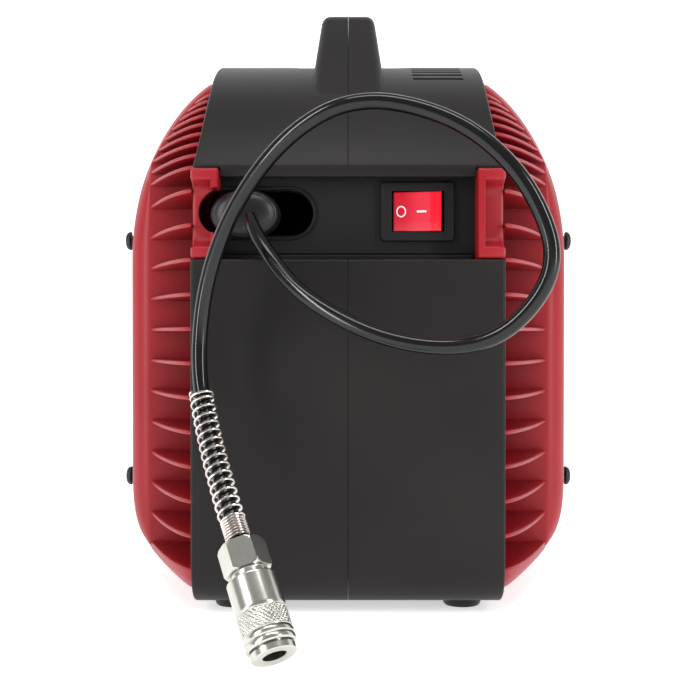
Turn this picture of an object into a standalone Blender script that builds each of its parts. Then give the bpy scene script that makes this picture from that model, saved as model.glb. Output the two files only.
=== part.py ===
"""Portable tankless air compressor: a black centre band with a carrying handle between two
finned red side shells, a pump driven straight by its motor, and a short hose that ends in a
quick coupler. Metres, +Z up. The switch face looks along -Y and the object stands on z = 0."""

import math

import bmesh
import bpy
from mathutils import Matrix, Vector

# ---- Overall sizes ----
DEPTH = 0.285  # across the band, front face to rear face
BAND_HALF_WIDTH = 0.079
SHELL_HALF_WIDTH = 0.130
FOOT_HEIGHT = 0.005
COVER_TOP = 0.303  # crest of the band, under the handle
COVER_RADIUS = 0.157
HANDLE_TOP = 0.3305
WALL = 0.003
GAP = 0.0003  # between pieces that touch

# ---- Band ----
CORNER_RADIUS = 0.020
RECESS_LOW = 0.180
RECESS_HIGH = 0.226
RECESS_DEPTH = 0.018
PANEL_THICKNESS = 0.003
SHELL_SETBACK = 0.006  # how far the red shells stay below the band's edge

# ---- Handle ----
HANDLE_HALF_WIDTH = 0.015
HANDLE_BASE_HALF_WIDTH = 0.021
GRIP_THICKNESS = 0.022
GRIP_HALF_LENGTH = 0.030
HANDLE_FOOT_Y = 0.1105
LEG_THICKNESS = 0.026
SCOOP_HALF_WIDTH = 0.033
SCOOP_HALF_LENGTH = 0.044
SCOOP_FLOOR = 0.268

# ---- Side shells ----
DOME_HALF_DEPTH = 0.0545
DOME_FACE_X = 0.1133  # half width of the shell at the dome's end face
DOME_CORNER = 0.012  # depth over which the dome turns in
DOME_EDGE = 0.0055  # how far the end face stays inside the dome's greatest outline
FIN_THICKNESS = 0.0025
FIN_PITCH = 0.0175
FIN_LOWEST = 0.0225
FIN_COUNT = 12
TOP_FIN_ARC_PITCH = 0.0083
TOP_FIN_COUNT = 9
BUMPER_RADIUS = 0.0055
BUMPER_HEIGHTS = (0.058, 0.198)
BUMPER_Y = 0.026
BUMPER_STAND = 0.003

# ---- Hose and coupler ----
HOSE_DIAMETER = 0.0075
SPRING_DIAMETER = 0.013
COUPLER_HEX = 0.019
COUPLER_SLEEVE_RADIUS = 0.0112
COUPLER_LENGTH = 0.053
SLEEVE_TRAVEL = 0.003

# ---- Controls ----
SLOT = (-0.0760, -0.018, 0.193, 0.216)  # left, right, bottom, top
BALL_CENTRE_X, BALL_CENTRE_Z = -0.052, 0.203
BALL_RADII = (0.018, 0.0105, 0.013)
SWITCH_CENTRE = (0.0358, 0.2052)
SWITCH_FRAME = (0.038, 0.0306)
SWITCH_OPENING = (0.0268, 0.021)
ROCKER_TILT = math.radians(9)
GAUGE_CENTRE = (0.030, 0.203)
GAUGE_RADIUS = 0.0185
KNOB_CENTRE = (-0.030, 0.203)
KNOB_RADIUS = 0.0165

# ---- Motor and pump ----
SHAFT_Z = 0.100
SHAFT_RADIUS = 0.005
MOTOR_RADIUS = 0.048
MOTOR_REAR, MOTOR_FRONT = -0.075, -0.005  # the fan end and the pump end, along Y
BEARING_RADIUS = 0.011
CRANKCASE_HALF = 0.040
CRANK_RADIUS = 0.026
CYLINDER_BORE = 0.0205  # radius
CYLINDER_MARGIN = 0.0065  # from the bore to the crankcase's end faces
FEET_X, FEET_Y = 0.060, 0.110
FOOT_RADIUS = 0.011

HALF_DEPTH = DEPTH / 2
COVER_CENTRE_Z = COVER_TOP - COVER_RADIUS
RECESS_FLOOR_Y = HALF_DEPTH - RECESS_DEPTH
SHELL_INNER_X = BAND_HALF_WIDTH + GAP
FLANGE = 0.003  # thickness of the shell where it meets the band
FAR = 1.0  # length of a cutter that has to pass right through


def material(name, colour, roughness, metallic=0.0):
    made = bpy.data.materials.new(name)
    made.use_nodes = True
    shader = made.node_tree.nodes["Principled BSDF"]
    shader.inputs["Base Color"].default_value = (*colour, 1)
    shader.inputs["Roughness"].default_value = roughness
    shader.inputs["Metallic"].default_value = metallic
    made.diffuse_color = (*colour, 1)
    return made


def finish(name, bm, finish_material, cutter=False):
    """The bmesh as an object: normals out, round parts smooth, sharp edges kept."""
    bmesh.ops.remove_doubles(bm, verts=bm.verts, dist=1e-7)
    bmesh.ops.recalc_face_normals(bm, faces=bm.faces)
    mesh = bpy.data.meshes.new(name)
    bm.to_mesh(mesh)
    bm.free()
    mesh.shade_smooth()
    mesh.set_sharp_from_angle(angle=math.radians(35))
    obj = bpy.data.objects.new(name, mesh)
    bpy.context.scene.collection.objects.link(obj)
    if cutter:
        obj.hide_render = True
        obj.display_type = "WIRE"
    else:
        mesh.materials.append(finish_material)
    return obj


# Each entry turns a point of a flat outline, and a height above it, into x, y, z.
PLANES = {
    "X": lambda u, v, h: (h, u, v),
    "Y": lambda u, v, h: (u, h, v),
    "Z": lambda u, v, h: (u, v, h),
}


def add_prism(bm, outline, axis, low, high):
    """A flat outline extruded along an axis, from low to high."""
    place = PLANES[axis]
    face = bm.faces.new([bm.verts.new(place(u, v, low)) for u, v in outline])
    raised = bmesh.ops.extrude_face_region(bm, geom=[face])["geom"]
    move = Vector(place(0, 0, high - low))
    bmesh.ops.translate(bm, vec=move, verts=[v for v in raised if isinstance(v, bmesh.types.BMVert)])


def prism(name, outline, axis, low, high, finish_material=None, cutter=False):
    bm = bmesh.new()
    add_prism(bm, outline, axis, low, high)
    return finish(name, bm, finish_material, cutter)


def turned(name, profile, axis, centre, finish_material=None, cutter=False, steps=24):
    """A profile of (radius, height) points spun about an axis through centre. It is a closed ring
    when no point lies on the axis, and otherwise runs from the axis back to the axis."""
    bm = bmesh.new()
    direction = Vector(axis).normalized()
    side = direction.orthogonal().normalized()
    origin = Vector(centre)
    points = [bm.verts.new(origin + side * r + direction * h) for r, h in profile]
    edges = [bm.edges.new(pair) for pair in zip(points, points[1:])]
    if profile[0][0] > 0:
        edges.append(bm.edges.new((points[-1], points[0])))
    bmesh.ops.spin(
        bm, geom=points + edges, cent=origin, axis=direction, angle=math.tau, steps=steps, use_merge=True
    )
    return finish(name, bm, finish_material, cutter)


def boolean(obj, other, operation):
    modifier = obj.modifiers.new(f"{operation.lower()} {other.name}", "BOOLEAN")
    modifier.operation = operation
    modifier.solver = "EXACT"
    modifier.object = other
    return obj


def cut(obj, *cutters):
    for cutter in cutters:
        boolean(obj, cutter, "DIFFERENCE")
    return obj


def box_outline(u_low, u_high, v_low, v_high):
    return [(u_low, v_low), (u_high, v_low), (u_high, v_high), (u_low, v_high)]


def arc(centre, radius, start, end, count):
    """Points of a circle from start to end, in degrees."""
    steps = [math.radians(start + (end - start) * i / (count - 1)) for i in range(count)]
    return [(centre[0] + radius * math.cos(a), centre[1] + radius * math.sin(a)) for a in steps]


def rounded_box(u_low, u_high, v_low, v_high, radius, count=5):
    corners = (
        (u_high - radius, v_high - radius, 0),
        (u_low + radius, v_high - radius, 90),
        (u_low + radius, v_low + radius, 180),
        (u_high - radius, v_low + radius, 270),
    )
    return [p for u, v, turn in corners for p in arc((u, v), radius, turn, turn + 90, count)]


def clear_scene():
    for obj in list(bpy.data.objects):
        bpy.data.objects.remove(obj, do_unlink=True)


def make_materials():
    return {
        "black": material("black_moulded_plastic", (0.045, 0.043, 0.042), 0.48),
        "red": material("red_moulded_plastic", (0.45, 0.03, 0.04), 0.45),
        "rubber": material("black_rubber", (0.02, 0.02, 0.02), 0.6),
        "hose": material("glossy_hose", (0.01, 0.01, 0.01), 0.2),
        "nickel": material("nickel_plate", (0.62, 0.60, 0.57), 0.25, 1.0),
        "steel": material("steel", (0.5, 0.5, 0.5), 0.35, 1.0),
        "aluminium": material("cast_aluminium", (0.6, 0.6, 0.6), 0.45, 1.0),
        "lamp_red": material("red_switch_lens", (0.7, 0.02, 0.04), 0.2),
        "copper": material("copper_winding", (0.6, 0.25, 0.12), 0.4, 1.0),
        "white": material("white_dial", (0.8, 0.8, 0.8), 0.5),
    }


# ---- The outer casing ----
def band_taper(z):
    """How much narrower each side of the band is at height z, above the recess."""
    t = min(max((z - RECESS_HIGH) / 0.05, 0), 1)
    return 0.004 * t * (2 - t)


def tapered(obj):
    """Draws the casing in towards its crest: the band in proportion, the shells less the further out."""
    for v in obj.data.vertices:
        x = abs(v.co.x)
        if x <= GAP:
            continue
        if x <= BAND_HALF_WIDTH:
            share = x / BAND_HALF_WIDTH
        else:
            share = max(0, (SHELL_HALF_WIDTH - x) / (SHELL_HALF_WIDTH - BAND_HALF_WIDTH))
        v.co.x -= math.copysign(band_taper(v.co.z) * share, v.co.x)
    return obj


def cover_z(y, inset=0.0):
    """Height of the curved cover at depth y."""
    return COVER_CENTRE_Z + math.sqrt((COVER_RADIUS - inset) ** 2 - y**2)


def cover_y(z, inset=0.0):
    return math.sqrt((COVER_RADIUS - inset) ** 2 - (z - COVER_CENTRE_Z) ** 2)


def mirrored(points):
    return points + [(-y, z) for y, z in reversed(points)]


def band_outline(inset):
    """The band's side view, drawn in by inset: rounded lower corners, a recess in each face, a curved cover."""
    corner = (HALF_DEPTH - CORNER_RADIUS, FOOT_HEIGHT + CORNER_RADIUS)
    wall_y = RECESS_FLOOR_Y - PANEL_THICKNESS - GAP - inset
    low, high = RECESS_LOW - inset, RECESS_HIGH + inset
    start = math.degrees(math.acos(cover_y(high, inset) / (COVER_RADIUS - inset)))
    side = arc(corner, CORNER_RADIUS - inset, 270, 360, 5)
    side += [(HALF_DEPTH - inset, low), (wall_y, low), (wall_y, high)]
    side += arc((0, COVER_CENTRE_Z), COVER_RADIUS - inset, start, 87, 12)
    return mirrored(side)


def add_ring_prism(bm, outer, inner, low, high):
    """The wall between two outlines that have the same number of points, along X."""
    loops = [[bm.verts.new((h, u, v)) for u, v in line] for line in (outer, inner) for h in (low, high)]
    outer_low, outer_high, inner_low, inner_high = loops
    count = len(outer)
    walls = [(outer_low, outer_high), (inner_high, inner_low)]
    for a, b in walls + [(outer_high, inner_high), (inner_low, outer_low)]:
        for i in range(count):
            j = (i + 1) % count
            bm.faces.new((a[i], a[j], b[j], b[i]))


def handle_outline():
    """The handle's side view: two legs that lean in from the cover, and a level grip."""
    foot_inset = WALL / 2
    foot = Vector((HANDLE_FOOT_Y, cover_z(HANDLE_FOOT_Y, foot_inset)))
    shoulder = Vector((GRIP_HALF_LENGTH + 0.0125, HANDLE_TOP - 0.008))
    along = (foot - shoulder).normalized()
    inner = shoulder + Vector((along.y, -along.x)) * LEG_THICKNESS
    under = HANDLE_TOP - GRIP_THICKNESS
    grip_end = inner + along * ((under - inner.y) / along.y)
    radius = COVER_RADIUS - foot_inset
    from_centre = grip_end - Vector((0, COVER_CENTRE_Z))
    half_b = from_centre.dot(along)
    reach = -half_b - math.sqrt(half_b**2 - from_centre.length_squared + radius**2)
    inner_foot = grip_end + along * reach
    angles = [math.degrees(math.atan2(p.y - COVER_CENTRE_Z, p.x)) for p in (inner_foot, foot)]
    half = [tuple(grip_end)] + arc((0, COVER_CENTRE_Z), radius, *angles, 5)
    bend = (GRIP_HALF_LENGTH + 0.006, HANDLE_TOP - 0.0025)
    half += [tuple(shoulder), bend, (GRIP_HALF_LENGTH - 0.002, HANDLE_TOP)]
    return mirrored(half)


def vent_cutters():
    """Five slots through the right half of the cover."""
    bm = bmesh.new()
    for i in range(5):
        y = -0.0745 + 0.0072 * i
        add_prism(bm, box_outline(0.036, 0.064, y - 0.0016, y + 0.0016), "Z", 0.26, 0.31)
    return finish("vent_cutter", bm, None, cutter=True)


def handle_half(side):
    """Half of the handle, widening towards the cover, as a body to be joined to the band."""
    bm = bmesh.new()
    add_prism(bm, handle_outline(), "X", side * GAP / 2, side * HANDLE_HALF_WIDTH)
    flare = HANDLE_BASE_HALF_WIDTH - HANDLE_HALF_WIDTH
    for v in bm.verts:
        if abs(v.co.x) > GAP:
            v.co.x += side * flare * min(1, (HANDLE_TOP - v.co.z) / (HANDLE_TOP - 0.27))
    return finish(f"handle_half_{side}", bm, None, cutter=True)


def housing_half(name, side, materials, cutters):
    bm = bmesh.new()
    add_ring_prism(bm, band_outline(0), band_outline(WALL), side * GAP / 2, side * BAND_HALF_WIDTH)
    obj = tapered(finish(name, bm, materials["black"]))
    boolean(obj, handle_half(side), "UNION")
    return cut(obj, *cutters)


def scoop(materials):
    """The hand well under the grip, let into the cover."""
    half_length, half_width = SCOOP_HALF_LENGTH - GAP, SCOOP_HALF_WIDTH - GAP
    rim = [(y, cover_z(y)) for y in (half_length * (1 - i / 3) for i in range(7))]
    outline = [(-half_length, SCOOP_FLOOR - WALL), (half_length, SCOOP_FLOOR - WALL)] + rim
    body = prism("hand_well", outline, "X", -half_width, half_width, materials["black"])
    hollow = rounded_box(
        -half_length + WALL, half_length - WALL, SCOOP_FLOOR, HANDLE_TOP, 0.008, count=4
    )
    return cut(body, prism("well_hollow", hollow, "X", -half_width + WALL, half_width - WALL, cutter=True))


def silhouette_x(z):
    """Half width of the red shell at height z: two superellipse corners joined by a straight side."""
    low_z, high_z = 0.065, 0.188
    if z < low_z:
        drop = min((low_z - z) / 0.055, 1)
        return 0.078 + (SHELL_HALF_WIDTH - 0.078) * (1 - drop**3.2) ** (1 / 3.2)
    if z > high_z:
        rise = min((z - high_z) / 0.115, 1)
        return 0.057 + (SHELL_HALF_WIDTH - 0.057) * (1 - rise**1.9) ** (1 / 1.9)
    return SHELL_HALF_WIDTH


def shell_front_y(z):
    """How far forward the red shell reaches at height z, a little inside the band's own outline."""
    low = FOOT_HEIGHT + CORNER_RADIUS
    if z < low:
        radius = CORNER_RADIUS - SHELL_SETBACK
        return HALF_DEPTH - CORNER_RADIUS + math.sqrt(max(radius**2 - (low - z) ** 2, 0))
    if z > COVER_CENTRE_Z:
        return min(HALF_DEPTH - SHELL_SETBACK, cover_y(z, SHELL_SETBACK))
    return HALF_DEPTH - SHELL_SETBACK


def face_x(z):
    """Half width of the dome's end faces, which the fins also reach."""
    return min(DOME_FACE_X, silhouette_x(z) - DOME_EDGE)


def dome_x(y, z):
    """Half width of the dome: crowned along its depth, then turned in to the end face by a round corner."""
    y = abs(y)
    crown = 1 - 0.132 * (y / DOME_HALF_DEPTH) ** 2
    crowned = SHELL_INNER_X + (silhouette_x(z) - SHELL_INNER_X) * crown
    past = max(0, y - (DOME_HALF_DEPTH - DOME_CORNER)) / DOME_CORNER
    return crowned - max(0, crowned - face_x(z)) * (1 - math.sqrt(1 - min(past, 1) ** 2))


def dome_body(name, side, wall, root_x):
    """The dome, drawn in by wall, as a loft along Y of the shell's front outline."""
    heights = [0.0103, 0.0115, 0.016, 0.024, 0.036, 0.050, 0.068, 0.128, 0.188, 0.215, 0.24, 0.262, 0.28, 0.293]
    ends = [0, 0.3, 0.55, 0.78, 0.86, 0.93, 0.98, 1.0]
    half_depth = DOME_HALF_DEPTH - wall
    stations = [-half_depth * e for e in reversed(ends)] + [half_depth * e for e in ends[1:]]
    bm = bmesh.new()
    rows = []
    for y in stations:
        outer_y = y * DOME_HALF_DEPTH / half_depth
        drop = COVER_TOP - cover_z(y)
        row = [bm.verts.new((side * root_x, y, heights[0] + wall))]
        for z in heights:
            x = dome_x(outer_y, z) - wall
            high = max(0, (z - COVER_CENTRE_Z) / (COVER_TOP - COVER_CENTRE_Z))
            lift = wall * (1 - 2 * (z - heights[0]) / (heights[-1] - heights[0]))
            row.append(bm.verts.new((side * max(x, SHELL_INNER_X + FLANGE / 2), y, z - drop * high + lift)))
        row.append(bm.verts.new((side * root_x, y, row[-1].co.z)))
        rows.append(row)
    for a, b in zip(rows, rows[1:]):
        for i in range(len(a)):
            j = (i + 1) % len(a)
            bm.faces.new((a[i], a[j], b[j], b[i]))
    bm.faces.new(rows[0])
    bm.faces.new(rows[-1])
    return tapered(finish(name, bm, None, cutter=True))


def fin_heights():
    low = [FIN_LOWEST + FIN_PITCH * i for i in range(FIN_COUNT)]
    radius = COVER_RADIUS - SHELL_SETBACK
    start = math.asin((low[-1] + 0.013 - COVER_CENTRE_Z) / radius)
    angles = [start + TOP_FIN_ARC_PITCH / radius * i for i in range(TOP_FIN_COUNT)]
    high = [COVER_CENTRE_Z + radius * math.sin(a) for a in angles]
    return low + high


def unbent_z(z):
    """The dome's outline is bent down along the cover's arc: the height it had where its end face is at z."""
    drop = (COVER_TOP - cover_z(DOME_HALF_DEPTH)) / (COVER_TOP - COVER_CENTRE_Z)
    return z if z < COVER_CENTRE_Z else (z - drop * COVER_CENTRE_Z) / (1 - drop)


def fin_bodies(side):
    """Level plates that fill the corner between the band's side and the dome's end face."""
    bm = bmesh.new()
    root = SHELL_INNER_X + GAP
    for z in fin_heights():
        front = shell_front_y(z)
        reach = face_x(unbent_z(z)) - SHELL_INNER_X
        edge = [0.03, 0.1, 0.25, 0.5, 0.75, 1.0]
        curve = [(SHELL_INNER_X + reach * s**0.7, front + (DOME_HALF_DEPTH - front) * s) for s in edge]
        inside = DOME_HALF_DEPTH - 0.012
        for end in (-1, 1):
            outline = [(root, front)] + curve + [(curve[-1][0] - 0.002, inside), (root, inside)]
            placed = [(side * x, end * y) for x, y in outline]
            add_prism(bm, placed, "Z", z - FIN_THICKNESS / 2, z + FIN_THICKNESS / 2)
    return tapered(finish(f"fins_{side}", bm, None, cutter=True))


def flange_heights():
    curve = [0.0112, 0.0135, 0.018, 0.025, 0.1, 0.18, 0.205, 0.215, 0.225]
    return curve + [0.235, 0.245, 0.255, 0.265, 0.275, 0.283, 0.290, 0.295, 0.2965]


def side_shell(name, side, materials, cutters):
    """A flange against the band, the dome, and the fins before and behind it; hollow behind the dome."""
    bm = bmesh.new()
    low_x, high_x = side * SHELL_INNER_X, side * (SHELL_INNER_X + FLANGE)
    rows = []
    for z in flange_heights():
        front = shell_front_y(z)
        corners = [(low_x, -front), (high_x, -front), (high_x, front), (low_x, front)]
        rows.append([bm.verts.new((x, y, z)) for x, y in corners])
    for a, b in zip(rows, rows[1:]):
        for i in range(4):
            bm.faces.new((a[i], a[(i + 1) % 4], b[(i + 1) % 4], b[i]))
    bm.faces.new(rows[0])
    bm.faces.new(rows[-1])
    obj = tapered(finish(name, bm, materials["red"]))
    boolean(obj, dome_body(f"dome_{side}", side, 0, SHELL_INNER_X + FLANGE / 2), "UNION")
    boolean(obj, fin_bodies(side), "UNION")
    cut(obj, dome_body(f"dome_hollow_{side}", side, WALL, SHELL_INNER_X - 0.02))
    return cut(obj, *cutters)


def bumper_seat_x():
    """The dome's surface where a bumper sits."""
    return dome_x(BUMPER_Y - BUMPER_RADIUS, sum(BUMPER_HEIGHTS) / 2)


def bumpers(materials):
    """Rubber buttons pushed through holes in the domes. Returns the drills for the holes."""
    drills = {-1: [], 1: []}
    stem = 0.003
    seat = bumper_seat_x() + GAP
    profile = [
        (0, seat - 0.006), (stem, seat - 0.006), (stem, seat), (BUMPER_RADIUS, seat),
        (BUMPER_RADIUS - 0.0012, seat + BUMPER_STAND - 0.0015),
        (BUMPER_RADIUS - 0.003, seat + BUMPER_STAND), (0, seat + BUMPER_STAND),
    ]
    drill = [(0, seat - 0.02), (stem + GAP, seat - 0.02), (stem + GAP, seat + 0.02), (0, seat + 0.02)]
    for side, side_name in ((-1, "left"), (1, "right")):
        for y, depth_name in ((-BUMPER_Y, "front"), (BUMPER_Y, "rear")):
            for z, height_name in zip(BUMPER_HEIGHTS, ("lower", "upper")):
                name = f"bumper_{side_name}_{depth_name}_{height_name}"
                turned(name, profile, (side, 0, 0), (0, y, z), materials["rubber"], steps=10)
                drills[side].append(
                    turned(f"{name}_drill", drill, (side, 0, 0), (0, y, z), cutter=True, steps=10)
                )
    return drills


# ---- The controls ----
def slot_outline(grow=0.0):
    left, right, low, high = SLOT
    return rounded_box(left - grow, right + grow, low - grow, high + grow, (high - low) / 2 + grow - 1e-5, 6)


def front_panel(materials):
    """The facia in the front recess, the frame and rocker of the switch, and the cord hooks."""
    face = -RECESS_FLOOR_Y
    low, high = RECESS_LOW + GAP, RECESS_HIGH - GAP
    panel = prism(
        "control_panel", box_outline(-0.0785, 0.0785, low, high), "Y", face, face + PANEL_THICKNESS,
        materials["black"],
    )
    slot_cutter = prism("slot_cutter", slot_outline(), "Y", -FAR, -0.05, cutter=True)
    x, z = SWITCH_CENTRE
    body = (SWITCH_OPENING[0] / 2 + 0.0015, SWITCH_OPENING[1] / 2 + 0.0015)
    hole = box_outline(x - body[0] - GAP, x + body[0] + GAP, z - body[1] - GAP, z + body[1] + GAP)
    switch_cutter = prism("switch_cutter", hole, "Y", -FAR, -0.05, cutter=True)
    cut(panel, slot_cutter, switch_cutter)

    front = face - GAP - 0.0027
    half_w, half_h = SWITCH_FRAME[0] / 2, SWITCH_FRAME[1] / 2
    frame = prism(
        "switch_frame", rounded_box(x - half_w, x + half_w, z - half_h, z + half_h, 0.003, 3), "Y",
        front, face - GAP, materials["black"],
    )
    tub = prism(
        "switch_tub", box_outline(x - body[0], x + body[0], z - body[1], z + body[1]), "Y",
        face - GAP - 0.001, face + 0.016, cutter=True,
    )
    boolean(frame, tub, "UNION")
    half_w, half_h = SWITCH_OPENING[0] / 2, SWITCH_OPENING[1] / 2
    cut(frame, prism(
        "switch_well", box_outline(x - half_w, x + half_w, z - half_h, z + half_h), "Y",
        front - 0.01, face + 0.014, cutter=True,
    ))
    rocker(materials, front)
    hooks(materials, slot_cutter)
    return [slot_cutter, switch_cutter]


def rocker(materials, front):
    """The rocker tilts about an upright axis; its outline is drawn level and then turned to OFF."""
    half_w = SWITCH_OPENING[0] / 2 - 0.0009
    half_h = SWITCH_OPENING[1] / 2 - GAP
    outline = [
        (-half_w, -0.0026), (0, -0.0018), (half_w, -0.0026), (half_w, 0.002), (0.004, 0.006), (-0.004, 0.006),
        (-half_w, 0.002),
    ]
    obj = prism("switch_rocker", outline, "Z", -half_h, half_h, materials["lamp_red"])
    obj.location = (SWITCH_CENTRE[0], front + 0.002, SWITCH_CENTRE[1])
    obj.rotation_euler = (0, 0, -ROCKER_TILT)


def hooks(materials, slot_cutter):
    """Red blocks at the ends of the recess, each a channel open to the front for the hose."""
    low, high = RECESS_LOW + GAP, RECESS_HIGH - GAP
    lip = 0.004
    for side, side_name in ((-1, "left"), (1, "right")):
        front, back = -HALF_DEPTH + 0.0005, -RECESS_FLOOR_Y - GAP
        obj = prism(
            f"hook_{side_name}", box_outline(*sorted((side * 0.065, side * BAND_HALF_WIDTH)), low, high), "Y",
            front, back, materials["red"],
        )
        channel = box_outline(front - 0.01, back - 0.005, low + lip, high - lip)
        cut(obj, prism(f"channel_{side_name}", channel, "X", -side * FAR, side * FAR, cutter=True))
        if side < 0:
            cut(obj, slot_cutter)


def rear_panel(materials):
    """The rear facia with the pressure gauge, the regulator knob and the inlet for the mains lead."""
    face = RECESS_FLOOR_Y
    low, high = RECESS_LOW + GAP, RECESS_HIGH - GAP
    prism(
        "rear_panel", box_outline(-0.0785, 0.0785, low, high), "Y", face - PANEL_THICKNESS, face,
        materials["black"],
    )
    x, z = GAUGE_CENTRE
    centre, r, base, top = (x, 0, z), GAUGE_RADIUS, face + GAP, face + 0.0145
    axis = (0, 1, 0)
    bore = r - 0.0017
    turned("gauge_case", [
        (0, base), (r, base), (r, top), (bore - 0.001, top), (bore - 0.001, top - 0.0012), (bore, top - 0.0012),
        (bore, base + 0.003), (0.0012, base + 0.003), (0.0012, base + 0.0068), (0, base + 0.0068),
    ], axis, centre, materials["nickel"])
    turned("gauge_dial", [
        (0.0015, base + 0.0033), (bore - GAP, base + 0.0033),
        (bore - GAP, base + 0.0043), (0.0015, base + 0.0043),
    ], axis, centre, materials["white"])
    turned("gauge_lens", [
        (0, base + 0.010), (bore - GAP, base + 0.010), (bore - GAP, base + 0.0112), (0, base + 0.0112),
    ], axis, centre, materials["white"])
    needle = prism(
        "gauge_needle",
        [
            (-0.0025, -0.0025), (0.0025, -0.0025), (0.0025, 0.0025),
            (0.0006, 0.0125), (-0.0006, 0.0125), (-0.0025, 0.0025),
        ],
        "Y", base + 0.0055, base + 0.0063, materials["red"],
    )
    bore_profile = [(0, -FAR), (0.0015, -FAR), (0.0015, FAR), (0, FAR)]
    cut(needle, turned("needle_bore", bore_profile, axis, centre, cutter=True, steps=12))
    needle.location = (x, 0, z)
    needle.rotation_euler = (0, math.radians(135), 0)

    x, z = KNOB_CENTRE
    r = KNOB_RADIUS
    turned("regulator_knob", [
        (0, base), (r - 0.003, base), (r - 0.003, base + 0.003), (r, base + 0.004), (r - 0.001, base + 0.014),
        (r - 0.003, base + 0.016), (0, base + 0.016),
    ], axis, (x, 0, z), materials["black"], steps=18)
    turned("mains_lead_gland", [
        (0.0036, base), (0.0075, base), (0.007, base + 0.004), (0.0055, base + 0.014), (0.0036, base + 0.014),
    ], axis, (0.064, 0, 0.196), materials["rubber"], steps=16)


# ---- The hose ----
# Places that the hose passes, from the ball grommet round its loop and down to the coupler.
HOSE_ROUTE = [
    (-0.0485, -0.1442, 0.2000), (-0.0452, -0.1575, 0.1905), (-0.0300, -0.1735, 0.1690), (-0.0165, -0.1845, 0.1566),
    (0.0122, -0.1985, 0.1406), (0.0437, -0.2095, 0.1352), (0.0683, -0.2185, 0.1401), (0.0860, -0.2235, 0.1614),
    (0.0890, -0.2245, 0.1760), (0.0868, -0.2245, 0.1883), (0.0757, -0.2215, 0.2128), (0.0511, -0.2155, 0.2362),
    (0.0200, -0.2085, 0.2464), (0.0041, -0.2055, 0.2464), (-0.0110, -0.2015, 0.2430), (-0.0326, -0.1935, 0.2289),
    (-0.0524, -0.1785, 0.2050), (-0.0652, -0.1675, 0.1785), (-0.0710, -0.1630, 0.1529), (-0.0722, -0.1628, 0.1290),
    (-0.0702, -0.1670, 0.1125), (-0.0633, -0.1835, 0.0890), (-0.0545, -0.2015, 0.0660), (-0.0475, -0.2145, 0.0500),
]
COUPLER_DIRECTION = Vector((0.0170, -0.0285, -0.0422)).normalized()
POINT_SPACING = 2 * HOSE_DIAMETER


def smooth_route(route, spacing):
    """Points at an even spacing along a uniform cubic B-spline of the route, which meets its two ends."""
    points = [Vector(p) for p in route]
    points = [2 * points[0] - points[1]] + points + [2 * points[-1] - points[-2]]
    dense = []
    for a, b, c, d in zip(points, points[1:], points[2:], points[3:]):
        for i in range(16):
            t = i / 16
            near, far = 1 - t, t
            dense.append((
                a * near**3 + b * (4 - 6 * far**2 + 3 * far**3) + c * (4 - 6 * near**2 + 3 * near**3) + d * far**3
            ) / 6)
    dense.append(points[-2])
    lengths = [0.0]
    for a, b in zip(dense, dense[1:]):
        lengths.append(lengths[-1] + (b - a).length)
    count = round(lengths[-1] / spacing)
    even, at = [], 0
    for i in range(count + 1):
        wanted = lengths[-1] * i / count
        while at < len(dense) - 2 and lengths[at + 1] < wanted:
            at += 1
        share = (wanted - lengths[at]) / (lengths[at + 1] - lengths[at])
        even.append(dense[at].lerp(dense[at + 1], share))
    return even


def tube(name, points, radius, finish_material, sides=2):
    """A round tube with closed ends, as a curve of straight segments through the points."""
    data = bpy.data.curves.new(name, "CURVE")
    data.dimensions = "3D"
    data.bevel_depth = radius
    data.bevel_resolution = sides
    data.use_fill_caps = True
    spline = data.splines.new("POLY")
    spline.points.add(len(points) - 1)
    for target, p in zip(spline.points, points):
        target.co = (*p, 1)
    data.materials.append(finish_material)
    obj = bpy.data.objects.new(name, data)
    bpy.context.scene.collection.objects.link(obj)
    return obj


def sleeve_along(name, points, inner, outer, finish_material, sides=12):
    """A hollow sleeve round a path: a ring of points inside and outside at each step."""
    bm = bmesh.new()
    side = (points[1] - points[0]).orthogonal().normalized()
    rings = []
    for i, p in enumerate(points):
        along = (points[min(i + 1, len(points) - 1)] - points[max(i - 1, 0)]).normalized()
        side = (side - along * side.dot(along)).normalized()
        up = along.cross(side)
        turns = [math.tau * k / sides for k in range(sides)]
        rings.append([
            [bm.verts.new(p + (side * math.cos(t) + up * math.sin(t)) * r) for t in turns]
            for r in (inner, outer)
        ])
    for k in range(sides):
        j = (k + 1) % sides
        for (a_in, a_out), (b_in, b_out) in zip(rings, rings[1:]):
            bm.faces.new((a_out[k], a_out[j], b_out[j], b_out[k]))
            bm.faces.new((a_in[j], a_in[k], b_in[k], b_in[j]))
        for inside, outside in (rings[0], rings[-1]):
            bm.faces.new((inside[k], inside[j], outside[j], outside[k]))
    return finish(name, bm, finish_material)


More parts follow.
